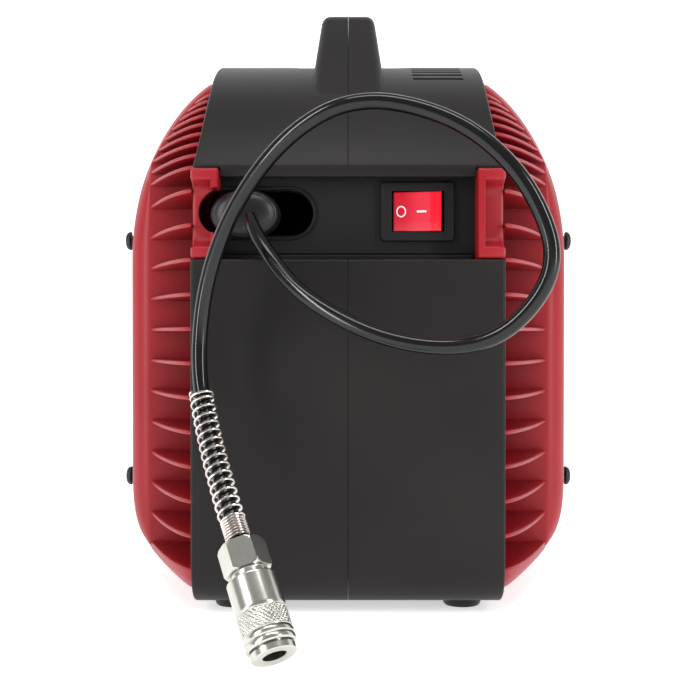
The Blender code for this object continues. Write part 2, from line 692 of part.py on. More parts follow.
def hose_and_coupler(materials):
    points = smooth_route(HOSE_ROUTE, POINT_SPACING)
    tube("hose", points, HOSE_DIAMETER / 2, materials["hose"])
    guarded = round(0.084 / POINT_SPACING)
    inner = HOSE_DIAMETER / 2 + GAP
    sleeve_along("spring_guard", points[-guarded - 1 :], inner, SPRING_DIAMETER / 2, materials["nickel"])

    start = points[-1] + COUPLER_DIRECTION * (GAP * 3)
    length, hex_length, core = COUPLER_LENGTH, 0.0136, 0.0085
    body = turned("coupler_body", [
        (0, 0), (core, 0), (core, length - 0.0035), (0.0100, length - 0.0032), (0.0100, length),
        (0.0051, length), (0.0051, length - 0.024), (0, length - 0.024),
    ], COUPLER_DIRECTION, start, materials["nickel"])
    corner = COUPLER_HEX / 2 / math.cos(math.pi / 6)
    boolean(body, turned(
        "coupler_hex", [(0, -GAP), (corner, -GAP), (corner, hex_length), (0, hex_length)],
        COUPLER_DIRECTION, start, cutter=True, steps=6,
    ), "UNION")
    low, high = hex_length + GAP + SLEEVE_TRAVEL, length - 0.0038
    radius = COUPLER_SLEEVE_RADIUS
    sleeve = turned("coupler_sleeve", [
        (core + GAP, low), (radius - 0.0008, low), (radius, low + 0.0008), (radius, high - 0.0008),
        (radius - 0.0008, high), (core + GAP, high),
    ], COUPLER_DIRECTION, (0, 0, 0), materials["nickel"])
    sleeve.location = start


def grommet(materials):
    """A flattened rubber ball with a neck that passes through the slot into the casing."""
    centre_y = -RECESS_FLOOR_Y - 0.007
    bm = bmesh.new()
    bmesh.ops.create_uvsphere(bm, u_segments=20, v_segments=12, radius=1)
    bmesh.ops.transform(bm, matrix=Matrix.Diagonal((*BALL_RADII, 1)), verts=bm.verts)
    bmesh.ops.translate(bm, vec=(BALL_CENTRE_X, centre_y, BALL_CENTRE_Z), verts=bm.verts)
    obj = finish("hose_grommet", bm, materials["rubber"])
    neck = turned(
        "grommet_neck", [(0, centre_y), (0.008, centre_y), (0.008, -0.110), (0, -0.110)], (0, 1, 0),
        (BALL_CENTRE_X, 0, BALL_CENTRE_Z), cutter=True, steps=16,
    )
    return boolean(obj, neck, "UNION")


# ---- The motor and the pump ----
def motor(materials):
    """A direct-drive motor: its shaft lies along Y and carries the fan and the crank disc."""
    axis, centre = (0, 1, 0), (0, 0, SHAFT_Z)
    rear, front, r, shaft = MOTOR_REAR, MOTOR_FRONT, MOTOR_RADIUS, SHAFT_RADIUS
    steel, aluminium = materials["steel"], materials["aluminium"]

    def ring(name, inner, outer, low, high, finish_material, steps=24):
        profile = [(inner, low), (outer, low), (outer, high), (inner, high)]
        return turned(name, profile, axis, centre, finish_material, steps=steps)

    def on_shaft(obj):
        """Moves an object's origin onto the shaft's axis, with its shape left where it is."""
        obj.data.transform(Matrix.Translation((0, 0, -SHAFT_Z)))
        obj.location = (0, 0, SHAFT_Z)
        return obj

    ring("motor_can", r - 0.0025, r, rear, front, steel, steps=32)
    ring("motor_stator", 0.0275, r - 0.0028, rear + 0.012, front - 0.012, materials["copper"])
    cap = 0.004
    for name, low in (("rear", rear - GAP - cap), ("front", front + GAP)):
        ring(f"motor_{name}_cap", BEARING_RADIUS + GAP, r, low, low + cap, aluminium)
        ring(f"motor_{name}_bearing", shaft + GAP, BEARING_RADIUS, low, low + cap, steel, steps=16)
    on_shaft(ring("motor_rotor", shaft + GAP, 0.026, rear + 0.012, front - 0.012, steel))
    on_shaft(ring("crank_disc", shaft + GAP, CRANK_RADIUS, front + 0.015, front + 0.023, steel))
    on_shaft(turned(
        "motor_shaft", [(0, rear - 0.022), (shaft, rear - 0.022), (shaft, front + 0.022), (0, front + 0.022)],
        axis, centre, steel, steps=16,
    ))
    blades = []
    for i in range(14):
        angle = math.tau * i / 14
        blades += [
            (radius * math.sin(angle + lead), SHAFT_Z + radius * math.cos(angle + lead))
            for radius, lead in ((0.014, -0.17), (0.040, -0.07), (0.040, 0.07), (0.014, 0.17))
        ]
    fan = prism("cooling_fan", blades, "Y", rear - 0.019, rear - 0.009, materials["black"])
    bore = [(0, -FAR), (shaft + GAP, -FAR), (shaft + GAP, FAR), (0, FAR)]
    cut(fan, turned("fan_bore", bore, axis, centre, cutter=True, steps=16))
    on_shaft(fan)


def pump(materials):
    """The crankcase in front of the motor, with the cylinder standing on it."""
    aluminium, steel = materials["aluminium"], materials["steel"]
    rear = MOTOR_FRONT + GAP + 0.0045
    half, half_length = CRANKCASE_HALF, CYLINDER_BORE + CYLINDER_MARGIN
    y, front = rear + half_length, rear + 2 * half_length
    along, up, shaft_axis = (0, 1, 0), (0, 0, 1), (0, 0, SHAFT_Z)
    case = prism(
        "crankcase", rounded_box(-half, half, SHAFT_Z - half, SHAFT_Z + half, 0.008, 3), "Y",
        rear, front, aluminium,
    )
    hollow = [(0, rear + 0.005), (half - 0.007, rear + 0.005), (half - 0.007, FAR), (0, FAR)]
    hole = [(0, 0.11), (CYLINDER_BORE + GAP, 0.11), (CYLINDER_BORE + GAP, 0.16), (0, 0.16)]
    shaft_hole = [(0, rear - 0.01), (0.0075, rear - 0.01), (0.0075, rear + 0.01), (0, rear + 0.01)]
    cut(
        case,
        turned("crankcase_hollow", hollow, along, shaft_axis, cutter=True),
        turned("rod_hole", hole, up, (0, y, 0), cutter=True),
        turned("shaft_hole", shaft_hole, along, shaft_axis, cutter=True, steps=16),
    )
    cover = [(0, front + GAP), (half - 0.001, front + GAP), (half - 0.001, front + 0.0033), (0, front + 0.0033)]
    turned("crankcase_cover", cover, along, shaft_axis, aluminium)

    bore, low, high = CYLINDER_BORE, SHAFT_Z + half + GAP, SHAFT_Z + half + 0.028
    wall = 0.0028
    fins = [(bore, low), (bore + 0.006, low), (bore + 0.006, low + 0.003)]
    for i in range(4):
        z = low + 0.003 + 0.0058 * i
        fins += [(bore + wall, z), (bore + wall, z + 0.0036)]
        fins += [(bore + 0.0055, z + 0.0036), (bore + 0.0055, z + 0.0058)]
    fins += [(bore, fins[-1][1])]
    top = fins[-1][1]
    turned("cylinder", fins, up, (0, y, 0), aluminium)

    plate = [(0, top + GAP), (bore + 0.0055, top + GAP), (bore + 0.0055, top + 0.003), (0, top + 0.003)]
    ports = [(0, 0), (0.0025, 0), (0.0025, FAR), (0, FAR)]
    cut(
        turned("valve_plate", plate, up, (0, y, 0), steel),
        turned("inlet_port", ports, up, (0.009, y, 0), cutter=True, steps=10),
        turned("outlet_port", ports, up, (-0.009, y, 0), cutter=True, steps=10),
    )
    base = top + 0.003 + GAP
    head = [(0, base + 0.008), (bore, base + 0.008), (bore, base), (bore + 0.0055, base)]
    for i in range(3):
        z = base + 0.0065 * i
        head += [(bore + 0.0055, z + 0.003), (bore + 0.002, z + 0.003)]
        head += [(bore + 0.002, z + 0.0065), (bore + 0.0055, z + 0.0065)]
    head += [(bore + 0.0055, base + 0.0215), (0, base + 0.0215)]
    turned("cylinder_head", head, up, (0, y, 0), aluminium)
    side_x = bore + 0.0055 + GAP
    filter_z = base + 0.0115
    turned("intake_filter", [
        (0, side_x), (0.004, side_x), (0.004, side_x + 0.004), (0.0105, side_x + 0.004),
        (0.0105, side_x + 0.022), (0, side_x + 0.022),
    ], (1, 0, 0), (0, y, filter_z), materials["black"], steps=16)
    tube("outlet_tube", smooth_route([
        (-side_x - 0.004, y, filter_z), (-0.045, y - 0.006, filter_z + 0.004), (-0.056, -0.030, 0.190),
        (-0.053, -0.080, 0.200), (BALL_CENTRE_X, -0.1095, BALL_CENTRE_Z),
    ], 0.012), 0.0035, materials["rubber"])

    rod_y = (y - 0.005, y + 0.005)
    crown_low = SHAFT_Z + half + 0.008
    rod = prism("piston_rod", [
        (0.007, crown_low + 0.001), (0.007, SHAFT_Z + 0.009)] + arc((0, SHAFT_Z), 0.0115, 50, -230, 13)
        + [(-0.007, SHAFT_Z + 0.009), (-0.007, crown_low + 0.001)], "Y", *rod_y, aluminium)
    crown = [(0, crown_low), (bore - 0.0008, crown_low)]
    crown += [(bore - 0.0008, crown_low + 0.006), (0, crown_low + 0.006)]
    boolean(rod, turned("piston_crown", crown, up, (0, y, 0), cutter=True), "UNION")
    seal_low = crown_low + 0.006 + GAP
    turned("piston_seal", [
        (0.012, seal_low), (bore - 0.0005, seal_low),
        (bore - 0.0005, seal_low + 0.0015), (0.012, seal_low + 0.0015),
    ], up, (0, y, 0), materials["rubber"])
    turned("seal_clamp", [
        (0, seal_low), (0.0117, seal_low), (0.0117, seal_low + 0.0018), (0.013, seal_low + 0.0018),
        (0.013, seal_low + 0.0028), (0, seal_low + 0.0028),
    ], up, (0, y, 0), steel)
    return front


def chassis(materials, front):
    """A plate on rubber isolators that carries the motor and the crankcase."""
    low = FOOT_HEIGHT + WALL + 0.030
    outline = box_outline(-0.052, 0.052, -0.088, front + 0.0082)
    plate = prism("chassis_plate", outline, "Z", low, low + 0.003, materials["steel"])
    saddle = prism(
        "motor_saddle", box_outline(-0.030, 0.030, -0.060, -0.020), "Z", low + 0.001,
        SHAFT_Z - 0.75 * MOTOR_RADIUS, cutter=True,
    )
    pillar = prism(
        "pump_pillar", box_outline(-0.028, 0.028, front - 0.046, front - 0.008), "Z", low + 0.001,
        SHAFT_Z - CRANKCASE_HALF - GAP, cutter=True,
    )
    boolean(plate, saddle, "UNION")
    boolean(plate, pillar, "UNION")
    room = MOTOR_RADIUS + GAP
    cut(plate, turned(
        "motor_room", [(0, -0.1), (room, -0.1), (room, 0), (0, 0)], (0, 1, 0), (0, 0, SHAFT_Z),
        cutter=True, steps=32,
    ))
    floor = FOOT_HEIGHT + WALL + GAP
    isolator = [(0, floor), (0.009, floor), (0.009, low - GAP), (0, low - GAP)]
    for x, side_name in ((-0.040, "left"), (0.040, "right")):
        for y, depth_name in ((-0.075, "front"), (0.048, "rear")):
            name = f"isolator_{side_name}_{depth_name}"
            turned(name, isolator, (0, 0, 1), (x, y, 0), materials["rubber"], steps=12)


def feet(materials):
    profile = [
        (0, 0), (FOOT_RADIUS - 0.001, 0), (FOOT_RADIUS, 0.001),
        (FOOT_RADIUS, FOOT_HEIGHT - GAP), (0, FOOT_HEIGHT - GAP),
    ]
    for x, side_name in ((-FEET_X, "left"), (FEET_X, "right")):
        for y, depth_name in ((-FEET_Y, "front"), (FEET_Y, "rear")):
            turned(f"foot_{side_name}_{depth_name}", profile, (0, 0, 1), (x, y, 0), materials["rubber"], steps=16)


def main():
    clear_scene()
    materials = make_materials()
    well = box_outline(-SCOOP_HALF_WIDTH, SCOOP_HALF_WIDTH, -SCOOP_HALF_LENGTH, SCOOP_HALF_LENGTH)
    well_cutter = prism("well_cutter", well, "Z", 0.25, HANDLE_TOP - GRIP_THICKNESS - 0.001, cutter=True)
    panel_cutters = front_panel(materials)
    vents = vent_cutters()
    housing_half("housing_left", -1, materials, [well_cutter, *panel_cutters])
    housing_half("housing_right", 1, materials, [well_cutter, *panel_cutters, vents])
    scoop(materials)
    drills = bumpers(materials)
    side_shell("side_shell_left", -1, materials, drills[-1])
    side_shell("side_shell_right", 1, materials, drills[1])
    rear_panel(materials)
    grommet(materials)
    hose_and_coupler(materials)
    motor(materials)
    front = pump(materials)
    chassis(materials, front)
    feet(materials)


main()
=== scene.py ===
# %% [markdown]
# A portable air compressor stands on a pale floor: a black band with a handle runs between two
# finned red shells, and a short hose loops out of its face. The overall sizes come from the packed
# frame and the finer ones repeat the solid model's, so this script only adds surface: new skins for
# the moulded shells, the wire of the spring guard, and a finish for every part.

# %% Load the frame
import math

import bmesh
import bpy
import numpy as np
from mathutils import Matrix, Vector


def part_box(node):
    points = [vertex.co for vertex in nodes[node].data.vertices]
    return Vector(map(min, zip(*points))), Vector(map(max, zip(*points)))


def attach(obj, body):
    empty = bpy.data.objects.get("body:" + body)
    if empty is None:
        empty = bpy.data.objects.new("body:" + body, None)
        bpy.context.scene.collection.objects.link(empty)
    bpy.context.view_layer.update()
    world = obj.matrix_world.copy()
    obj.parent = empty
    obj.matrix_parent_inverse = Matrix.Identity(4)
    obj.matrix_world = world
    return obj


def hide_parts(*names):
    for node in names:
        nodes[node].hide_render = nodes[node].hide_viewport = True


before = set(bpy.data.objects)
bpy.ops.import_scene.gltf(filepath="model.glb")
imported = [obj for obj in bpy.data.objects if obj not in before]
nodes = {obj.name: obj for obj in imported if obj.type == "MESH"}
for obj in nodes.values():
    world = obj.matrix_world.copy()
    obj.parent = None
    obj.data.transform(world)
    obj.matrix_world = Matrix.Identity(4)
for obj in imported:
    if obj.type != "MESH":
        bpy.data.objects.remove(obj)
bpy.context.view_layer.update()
print(len(nodes), "nodes in the frame")


def box(node):
    """A node's lowest and highest corners, as two numpy arrays in metres."""
    low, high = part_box(node)
    return np.array(low), np.array(high)


# %% [markdown]
# The object is seen straight on, from a little over half a metre in front of its face, with the lens
# level with the middle of the casing. A camera this near makes the casing's far side look smaller,
# which is why so much of the tapering side shells shows.

# %% Camera
band_low, band_high = box("housing_left")
front_y = band_low[1]
EYE_HEIGHT = 0.142
STAND_OFF = 0.600
camera_data = bpy.data.cameras.new("camera")
camera_data.lens = 61.7
camera_data.sensor_width = 36.0
camera = bpy.data.objects.new("camera", camera_data)
camera.location = (0.001, front_y - STAND_OFF, EYE_HEIGHT)
camera.rotation_euler = (math.radians(90 - 0.72), 0, 0)
bpy.context.scene.collection.objects.link(camera)
bpy.context.scene.camera = camera
bpy.context.scene.view_settings.view_transform = "Standard"
print("camera", tuple(round(v, 3) for v in camera.location))

# %% [markdown]
# Surfaces here are grids: one array of points, rows by columns, that a formula fills. One helper
# turns such a grid into a mesh. It can join the last column to the first, and the last row to the
# first, and it can close the ends of a tube with a flat face.

# %% Grid helper


def grid_faces(rows, columns, wrap_rows, wrap_columns):
    """Corner numbers of each square of a grid: point (i, j) has number i * columns + j."""
    i = np.arange(rows if wrap_rows else rows - 1)
    j = np.arange(columns if wrap_columns else columns - 1)
    i, j = np.meshgrid(i, j, indexing="ij")
    i2, j2 = (i + 1) % rows, (j + 1) % columns
    return np.stack([i * columns + j, i * columns + j2, i2 * columns + j2, i2 * columns + j], -1).reshape(-1, 4)


def surface(name, points, wrap_rows=False, wrap_columns=False, caps=False):
    """A mesh object from a grid of points (rows, columns, 3), smooth, with its normals out."""
    rows, columns = points.shape[:2]
    faces = grid_faces(rows, columns, wrap_rows, wrap_columns).tolist()
    if caps:
        faces += [list(range(columns)), list(range((rows - 1) * columns, rows * columns))]
    mesh = bpy.data.meshes.new(name)
    mesh.from_pydata(points.reshape(-1, 3).tolist(), [], faces)
    return finished(name, mesh)


def finished(name, mesh, angle=32):
    bm = bmesh.new()
    bm.from_mesh(mesh)
    bmesh.ops.remove_doubles(bm, verts=bm.verts, dist=1e-6)
    bmesh.ops.recalc_face_normals(bm, faces=bm.faces)
    bm.to_mesh(mesh)
    bm.free()
    mesh.shade_smooth()
    mesh.set_sharp_from_angle(angle=math.radians(angle))
    obj = bpy.data.objects.new(name, mesh)
    bpy.context.scene.collection.objects.link(obj)
    return obj


def joined(name, parts):
    """Several objects made one: their meshes are copied into one mesh, and the objects removed."""
    bm = bmesh.new()
    for part in parts:
        bm.from_mesh(part.data)
        bpy.data.objects.remove(part)
    mesh = bpy.data.meshes.new(name)
    bm.to_mesh(mesh)
    bm.free()
    mesh.shade_smooth()
    mesh.set_sharp_from_angle(angle=math.radians(32))
    obj = bpy.data.objects.new(name, mesh)
    bpy.context.scene.collection.objects.link(obj)
    return obj


def carve(obj, *cutters):
    """Cuts other closed objects out of obj, and removes them."""
    for cutter in cutters:
        modifier = obj.modifiers.new("cut", "BOOLEAN")
        modifier.object = cutter
        modifier.solver = "EXACT"
    graph = bpy.context.evaluated_depsgraph_get()
    mesh = bpy.data.meshes.new_from_object(obj.evaluated_get(graph))
    obj.modifiers.clear()
    obj.data = mesh
    mesh.set_sharp_from_angle(angle=math.radians(32))
    for cutter in cutters:
        bpy.data.objects.remove(cutter)
    return obj


# %% [markdown]
# The hose is stiff, so it stands out from the face in one loose loop and comes down past its own
# start. It leaves the ball forwards and ends in the coupler. Its places are the same as in the solid
# model, a smooth spline follows them, and the hose is one round tube along that spline.

# %% Hose route
HOSE_ROUTE = np.array([
    (-0.0485, -0.1442, 0.2000), (-0.0452, -0.1575, 0.1905), (-0.0300, -0.1735, 0.1690),
    (-0.0165, -0.1845, 0.1566), (0.0122, -0.1985, 0.1406), (0.0437, -0.2095, 0.1352),
    (0.0683, -0.2185, 0.1401), (0.0860, -0.2235, 0.1614), (0.0890, -0.2245, 0.1760),
    (0.0868, -0.2245, 0.1883), (0.0757, -0.2215, 0.2128), (0.0511, -0.2155, 0.2362),
    (0.0200, -0.2085, 0.2464), (0.0041, -0.2055, 0.2464), (-0.0110, -0.2015, 0.2430),
    (-0.0326, -0.1935, 0.2289), (-0.0524, -0.1785, 0.2050), (-0.0652, -0.1675, 0.1785),
    (-0.0710, -0.1630, 0.1529), (-0.0722, -0.1628, 0.1290), (-0.0702, -0.1670, 0.1125),
    (-0.0633, -0.1835, 0.0890), (-0.0545, -0.2015, 0.0660), (-0.0475, -0.2145, 0.0500),
])
HOSE_DIAMETER = 0.0075


def smooth_route(route, spacing):
    """Uniform cubic B-spline of the route at an even spacing. From b to c, with a before and d after,
    p = (a u^3 + b (4 - 6t^2 + 3t^3) + c (4 - 6u^2 + 3u^3) + d t^3) / 6, where u = 1 - t."""
    ends = np.vstack([2 * route[0] - route[1], route, 2 * route[-1] - route[-2]])
    t = np.linspace(0, 1, 40, endpoint=False)[None, :, None]
    a, b, c, d = (ends[i : len(ends) - 3 + i, None, :] for i in range(4))
    u = 1 - t
    curve = (a * u**3 + b * (4 - 6 * t**2 + 3 * t**3) + c * (4 - 6 * u**2 + 3 * u**3) + d * t**3) / 6
    dense = np.vstack([curve.reshape(-1, 3), route[-1]])
    along = np.append(0, np.cumsum(np.linalg.norm(np.diff(dense, axis=0), axis=1)))
    even = np.linspace(0, along[-1], round(along[-1] / spacing) + 1)
    return np.stack([np.interp(even, along, dense[:, k]) for k in range(3)], -1), along[-1]


def frames_along(points):
    """A direction and two sideways vectors at each point, carried along without twist."""
    along = np.gradient(points, axis=0)
    along /= np.linalg.norm(along, axis=1)[:, None]
    side = np.cross(along[0], (0, 0, 1.0))
    sides = []
    for direction in along:
        side = side - direction * side.dot(direction)
        side /= np.linalg.norm(side)
        sides.append(side)
    sides = np.array(sides)
    return along, sides, np.cross(along, sides)


def tube_grid(points, radius, steps):
    """Rings round a path: p + r (side cos a + up sin a). The radius may differ from point to point."""
    _, side, up = frames_along(points)
    a = np.linspace(0, 2 * np.pi, steps, endpoint=False)
    radius = np.broadcast_to(radius, len(points))[:, None, None]
    ring = side[:, None] * np.cos(a)[None, :, None] + up[:, None] * np.sin(a)[None, :, None]
    return points[:, None] + radius * ring


hose_points, hose_length = smooth_route(HOSE_ROUTE, 0.003)
hose = surface("hose_skin", tube_grid(hose_points, HOSE_DIAMETER / 2, 28), wrap_columns=True, caps=True)
print("hose length", round(float(hose_length), 4), "m in", len(hose_points), "points")

# %% [markdown]
# A material is a formula over the surface. Written as nodes it is long, so a small class wraps a
# socket and lets Python's own operators add the Math nodes. Any other node comes from one method that
# takes its type, its settings and what feeds its sockets.

# %% Shader helper


class Shader:
    """A material's node tree, with one Principled BSDF at the end of it."""

    def __init__(self, name, base=None, **fixed):
        self.material = bpy.data.materials.new(name)
        self.material.use_nodes = True
        self.tree = self.material.node_tree
        self.bsdf = self.tree.nodes["Principled BSDF"]
        if base:
            self.bsdf.inputs["Base Color"].default_value = (*base, 1)
        for socket, value in fixed.items():
            self.bsdf.inputs[socket.replace("_", " ")].default_value = value

    def node(self, kind, out=0, settings=None, **sockets):
        made = self.tree.nodes.new("ShaderNode" + kind)
        for key, value in (settings or {}).items():
            setattr(made, key, value)
        for key, value in sockets.items():
            socket = made.inputs[int(key[1:]) if key[0] == "_" else key.replace("_", " ")]
            if isinstance(value, Value):
                self.tree.links.new(value.socket, socket)
            else:
                socket.default_value = value
        return Value(self, made.outputs[out])

    def place(self):
        """Object coordinates: the piece's own metres."""
        return self.node("TexCoord", out="Object")

    def noise(self, scale, detail=3.0, place=None, **more):
        return self.node("TexNoise", Vector=place or self.place(), Scale=scale, Detail=detail, **more)

    def mix(self, factor, a, b):
        """Colour a where factor is 0 and b where it is 1."""
        return self.node("Mix", out=2, settings={"data_type": "RGBA"}, _0=factor, _6=a, _7=b)

    def bump(self, height, distance, strength=1.0):
        return self.node("Bump", Height=height, Distance=distance, Strength=strength)

    def feed(self, **sockets):
        for key, value in sockets.items():
            self.tree.links.new(value.socket, self.bsdf.inputs[key.replace("_", " ")])
        return self.material


class Value:
    """A socket that can be added to, multiplied and so on."""

    def __init__(self, shader, socket):
        self.shader, self.socket = shader, socket

    def math(self, operation, a, b=0.0, clamp=False):
        return self.shader.node("Math", settings={"operation": operation, "use_clamp": clamp}, _0=a, _1=b)

    def __add__(self, other):
        return self.math("ADD", self, other)

    def __mul__(self, other):
        return self.math("MULTIPLY", self, other)

    def __sub__(self, other):
        return self.math("SUBTRACT", self, other)

    def __rsub__(self, other):
        return self.math("SUBTRACT", other, self)

    __radd__, __rmul__ = __add__, __mul__

    def sine(self):
        return self.math("SINE", self)

    def between(self, low, high):
        """0 below low, 1 above high, and a straight ramp between them."""
        return self.math("MULTIPLY", self - low, 1 / (high - low), clamp=True)

    def axis(self, letter):
        return self.shader.node("SeparateXYZ", out="XYZ".index(letter), Vector=self)


def rgb(red, green, blue):
    """A colour given as screen values from 0 to 255, as the linear values that a shader takes."""
    screen = np.array([red, green, blue]) / 255
    linear = np.where(screen <= 0.04045, screen / 12.92, ((screen + 0.055) / 1.055) ** 2.4)
    return tuple(float(v) for v in linear)


# %% [markdown]
# The casing is injection moulded. Its tool was spark eroded, so the plastic has a very fine grain that
# breaks up the gloss, and the colour wanders a little with the thickness of the wall. Grain is a bump
# of two noises; the wandering is one broad noise. Black and red differ only in colour and gloss.

# %% Moulded plastics


def moulded(name, colour, lighter, roughness, grain=0.00002, specular=0.5):
    s = Shader(name, Roughness=roughness, Specular_IOR_Level=specular)
    broad = s.noise(14.0, 2.0)
    fine = s.noise(2600.0, 2.0)
    coarse = s.noise(900.0, 1.0)
    tone = s.mix(broad.between(0.35, 0.7), (*colour, 1), (*lighter, 1))
    height = fine * 0.7 + coarse * 0.3
    rough = roughness - 0.05 + 0.07 * broad + 0.05 * coarse
    return s.feed(Base_Color=tone, Roughness=rough, Normal=s.bump(height, grain, 0.5))


black_plastic = moulded("black_moulding", rgb(27, 25, 25), rgb(32, 30, 29), 0.44, specular=0.16)
inner_black = moulded("black_facia", rgb(22, 22, 24), rgb(26, 26, 28), 0.5, specular=0.2)
red_plastic = moulded("red_moulding", rgb(138, 16, 26), rgb(146, 20, 30), 0.40, specular=0.3)
rubber = moulded("rubber", rgb(16, 16, 18), rgb(22, 22, 23), 0.36, grain=0.00003, specular=0.35)
print("moulded plastics:", black_plastic.name, red_plastic.name)

# %% [markdown]
# The hose is smooth polyurethane, almost a mirror, so long thin streaks of the lights run along it.
# A hair of waviness keeps the streaks alive. The coupler is nickel plate over turned brass: the plate
# has fine rings from the lathe, and faint clouds where it has been handled. The spring is plain wire.

# %% Hose, nickel and other metals


def hose_finish():
    s = Shader("hose_polyurethane", Roughness=0.12, Specular_IOR_Level=0.38)
    cloud = s.noise(60.0, 3.0)
    tone = s.mix(cloud, (*rgb(6, 6, 6), 1), (*rgb(12, 12, 12), 1))
    waves = s.bump(s.noise(90.0, 2.0), 0.0003, 0.25)
    return s.feed(Base_Color=tone, Roughness=0.10 + 0.10 * cloud, Normal=waves)


def metal(name, colour, darker, roughness, ring_scale, wear=0.08):
    s = Shader(name, Metallic=1.0)
    cloud = s.noise(45.0, 4.0)
    fine = s.noise(ring_scale, 2.0)
    tone = s.mix(cloud.between(0.3, 0.75), (*colour, 1), (*darker, 1))
    return s.feed(
        Base_Color=tone, Roughness=roughness + wear * (cloud - 0.5) + 0.04 * fine,
        Normal=s.bump(fine, 0.00002, 0.4),
    )


hose_material = hose_finish()
nickel = metal("nickel_plate", rgb(202, 200, 192), rgb(176, 175, 168), 0.20, 1500.0)
wire = metal("spring_wire", rgb(226, 218, 212), rgb(176, 166, 160), 0.20, 2500.0)
steel = metal("zinc_steel", rgb(178, 180, 184), rgb(150, 150, 152), 0.34, 900.0)
aluminium = metal("cast_aluminium", rgb(188, 189, 192), rgb(160, 161, 164), 0.45, 500.0)
copper = metal("winding_copper", rgb(196, 116, 74), rgb(150, 80, 48), 0.35, 800.0)

# %% [markdown]
# Three small finishes are left. The rocker is clear red plastic over white; across it the red is
# darker at the left end, paler pink towards the middle and a stronger red past three quarters of the
# way. The dial is white with black marks round it, drawn as a formula on its own angle. The lens in
# front of it is clear.

# %% Rocker, dial and lens


def rocker_finish():
    s = Shader("rocker_red", Roughness=0.16, Coat_Weight=0.4)
    low, high = box("switch_rocker")
    across = s.place().axis("X").between(float(low[0]), float(high[0]))
    bright = across.between(0.74, 0.76)
    middle = across.between(0.20, 0.5)
    tone = s.mix(middle, (*rgb(190, 0, 34), 1), (*rgb(214, 40, 60), 1))
    tone = s.mix(bright, tone, (*rgb(222, 0, 30), 1))
    return s.feed(Base_Color=tone)


def dial_finish():
    s = Shader("dial_print", Roughness=0.5)
    low, high = box("gauge_dial")
    x, z = (s.place().axis(a) - float((low[i] + high[i]) / 2) for a, i in (("X", 0), ("Z", 2)))
    radius = s.node("Math", settings={"operation": "SQRT"}, _0=x * x + z * z)
    turn = s.node("Math", settings={"operation": "ARCTAN2"}, _0=x, _1=z)
    marks = (turn * 24).sine().between(0.75, 0.85) * radius.between(0.0118, 0.0121)
    swept = 1 - turn.math("ABSOLUTE", turn).between(2.5, 2.52)
    marks = marks * (1 - radius.between(0.0146, 0.0149)) * swept
    grime = s.noise(120.0, 2.0)
    paper = s.mix(grime, (*rgb(236, 236, 232), 1), (*rgb(226, 226, 222), 1))
    return s.feed(Base_Color=s.mix(marks, paper, (*rgb(20, 20, 20), 1)))


rocker_material = rocker_finish()
dial_material = dial_finish()
white_print = moulded("white_print", rgb(240, 228, 230), rgb(246, 238, 238), 0.35)
lens_material = Shader("clear_lens", (1, 1, 1), Roughness=0.03, Transmission_Weight=1.0, IOR=1.49).material
print("finishes:", len(bpy.data.materials), "materials")

# %% [markdown]
# The black band is a pair of mirror-image mouldings that meet in the middle. Seen from the side each
# is a loop: rounded feet corners, a straight face with a recess for the controls, and a cover that is
# part of a circle. The loop is one polygon with a radius at each corner, and it is drawn at several
# insets to give the wall, the rounded outer edge and the flange that the red shell screws to.

# %% Sizes of the casing, from the frame
HALF_DEPTH = float(band_high[1])
BAND_HALF_WIDTH = 0.079
FOOT_HEIGHT = float(band_low[2])
COVER_TOP, COVER_RADIUS = 0.303, 0.157
COVER_CENTRE_Z = COVER_TOP - COVER_RADIUS
HANDLE_TOP = float(band_high[2])
facia_low, facia_high = box("control_panel")
RECESS_LOW, RECESS_HIGH = float(facia_low[2]) - 0.0003, float(facia_high[2]) + 0.0003
FACIA_Y = float(facia_low[1])
WALL, SEAM = 0.003, 0.00006
SHELL_HALF_WIDTH = float(box("side_shell_right")[1][0])
WELL_CUT = (0.033, 0.044)  # half width and half depth of the hole for the hand well


def polygon_inset(points, inset):
    """Each corner v moved in along its mitre to v - inset (n1 + n2) / (1 + n1.n2), for outward normals n."""
    following = np.roll(points, -1, 0)
    turning = np.sign((points[:, 0] * following[:, 1] - points[:, 1] * following[:, 0]).sum())
    edge = following - points
    edge /= np.linalg.norm(edge, axis=1)[:, None]
    normal = turning * np.stack([edge[:, 1], -edge[:, 0]], -1)
    before = np.roll(normal, 1, 0)
    return points - inset * (normal + before) / (1 + (normal * before).sum(1))[:, None]


def filleted(points, radii, inset=0.0, count=7):
    """The polygon at an inset, with each corner of radius > 0 replaced by an arc. A radius shrinks on an
    outer corner and grows on an inner one, as it does on a wall of even thickness."""
    points = np.array(points, float)
    following = np.roll(points, -1, 0)
    turning = np.sign((points[:, 0] * following[:, 1] - points[:, 1] * following[:, 0]).sum())
    into, away = points - np.roll(points, 1, 0), following - points
    turns_out = turning * (into[:, 0] * away[:, 1] - into[:, 1] * away[:, 0]) > 0
    corners = polygon_inset(points, inset)
    out = []
    for i, (corner, outer) in enumerate(zip(corners, turns_out)):
        if radii[i] <= 0:
            out.append(corner)
            continue
        a, b = corners[i - 1] - corner, corners[(i + 1) % len(corners)] - corner
        a, b = a / np.linalg.norm(a), b / np.linalg.norm(b)
        radius = max(radii[i] - inset, 2e-5) if outer else radii[i] + inset
        half = math.acos(np.clip(a.dot(b), -1, 1)) / 2
        centre = corner + (a + b) / np.linalg.norm(a + b) * radius / math.sin(half)
        start = corner + a * radius / math.tan(half) - centre
        end = corner + b * radius / math.tan(half) - centre
        t = np.linspace(0, 1, count)[:, None]
        turn = np.pi - 2 * half
        out.extend(centre + (np.sin((1 - t) * turn) * start + np.sin(t * turn) * end) / math.sin(turn))
    return np.array(out)


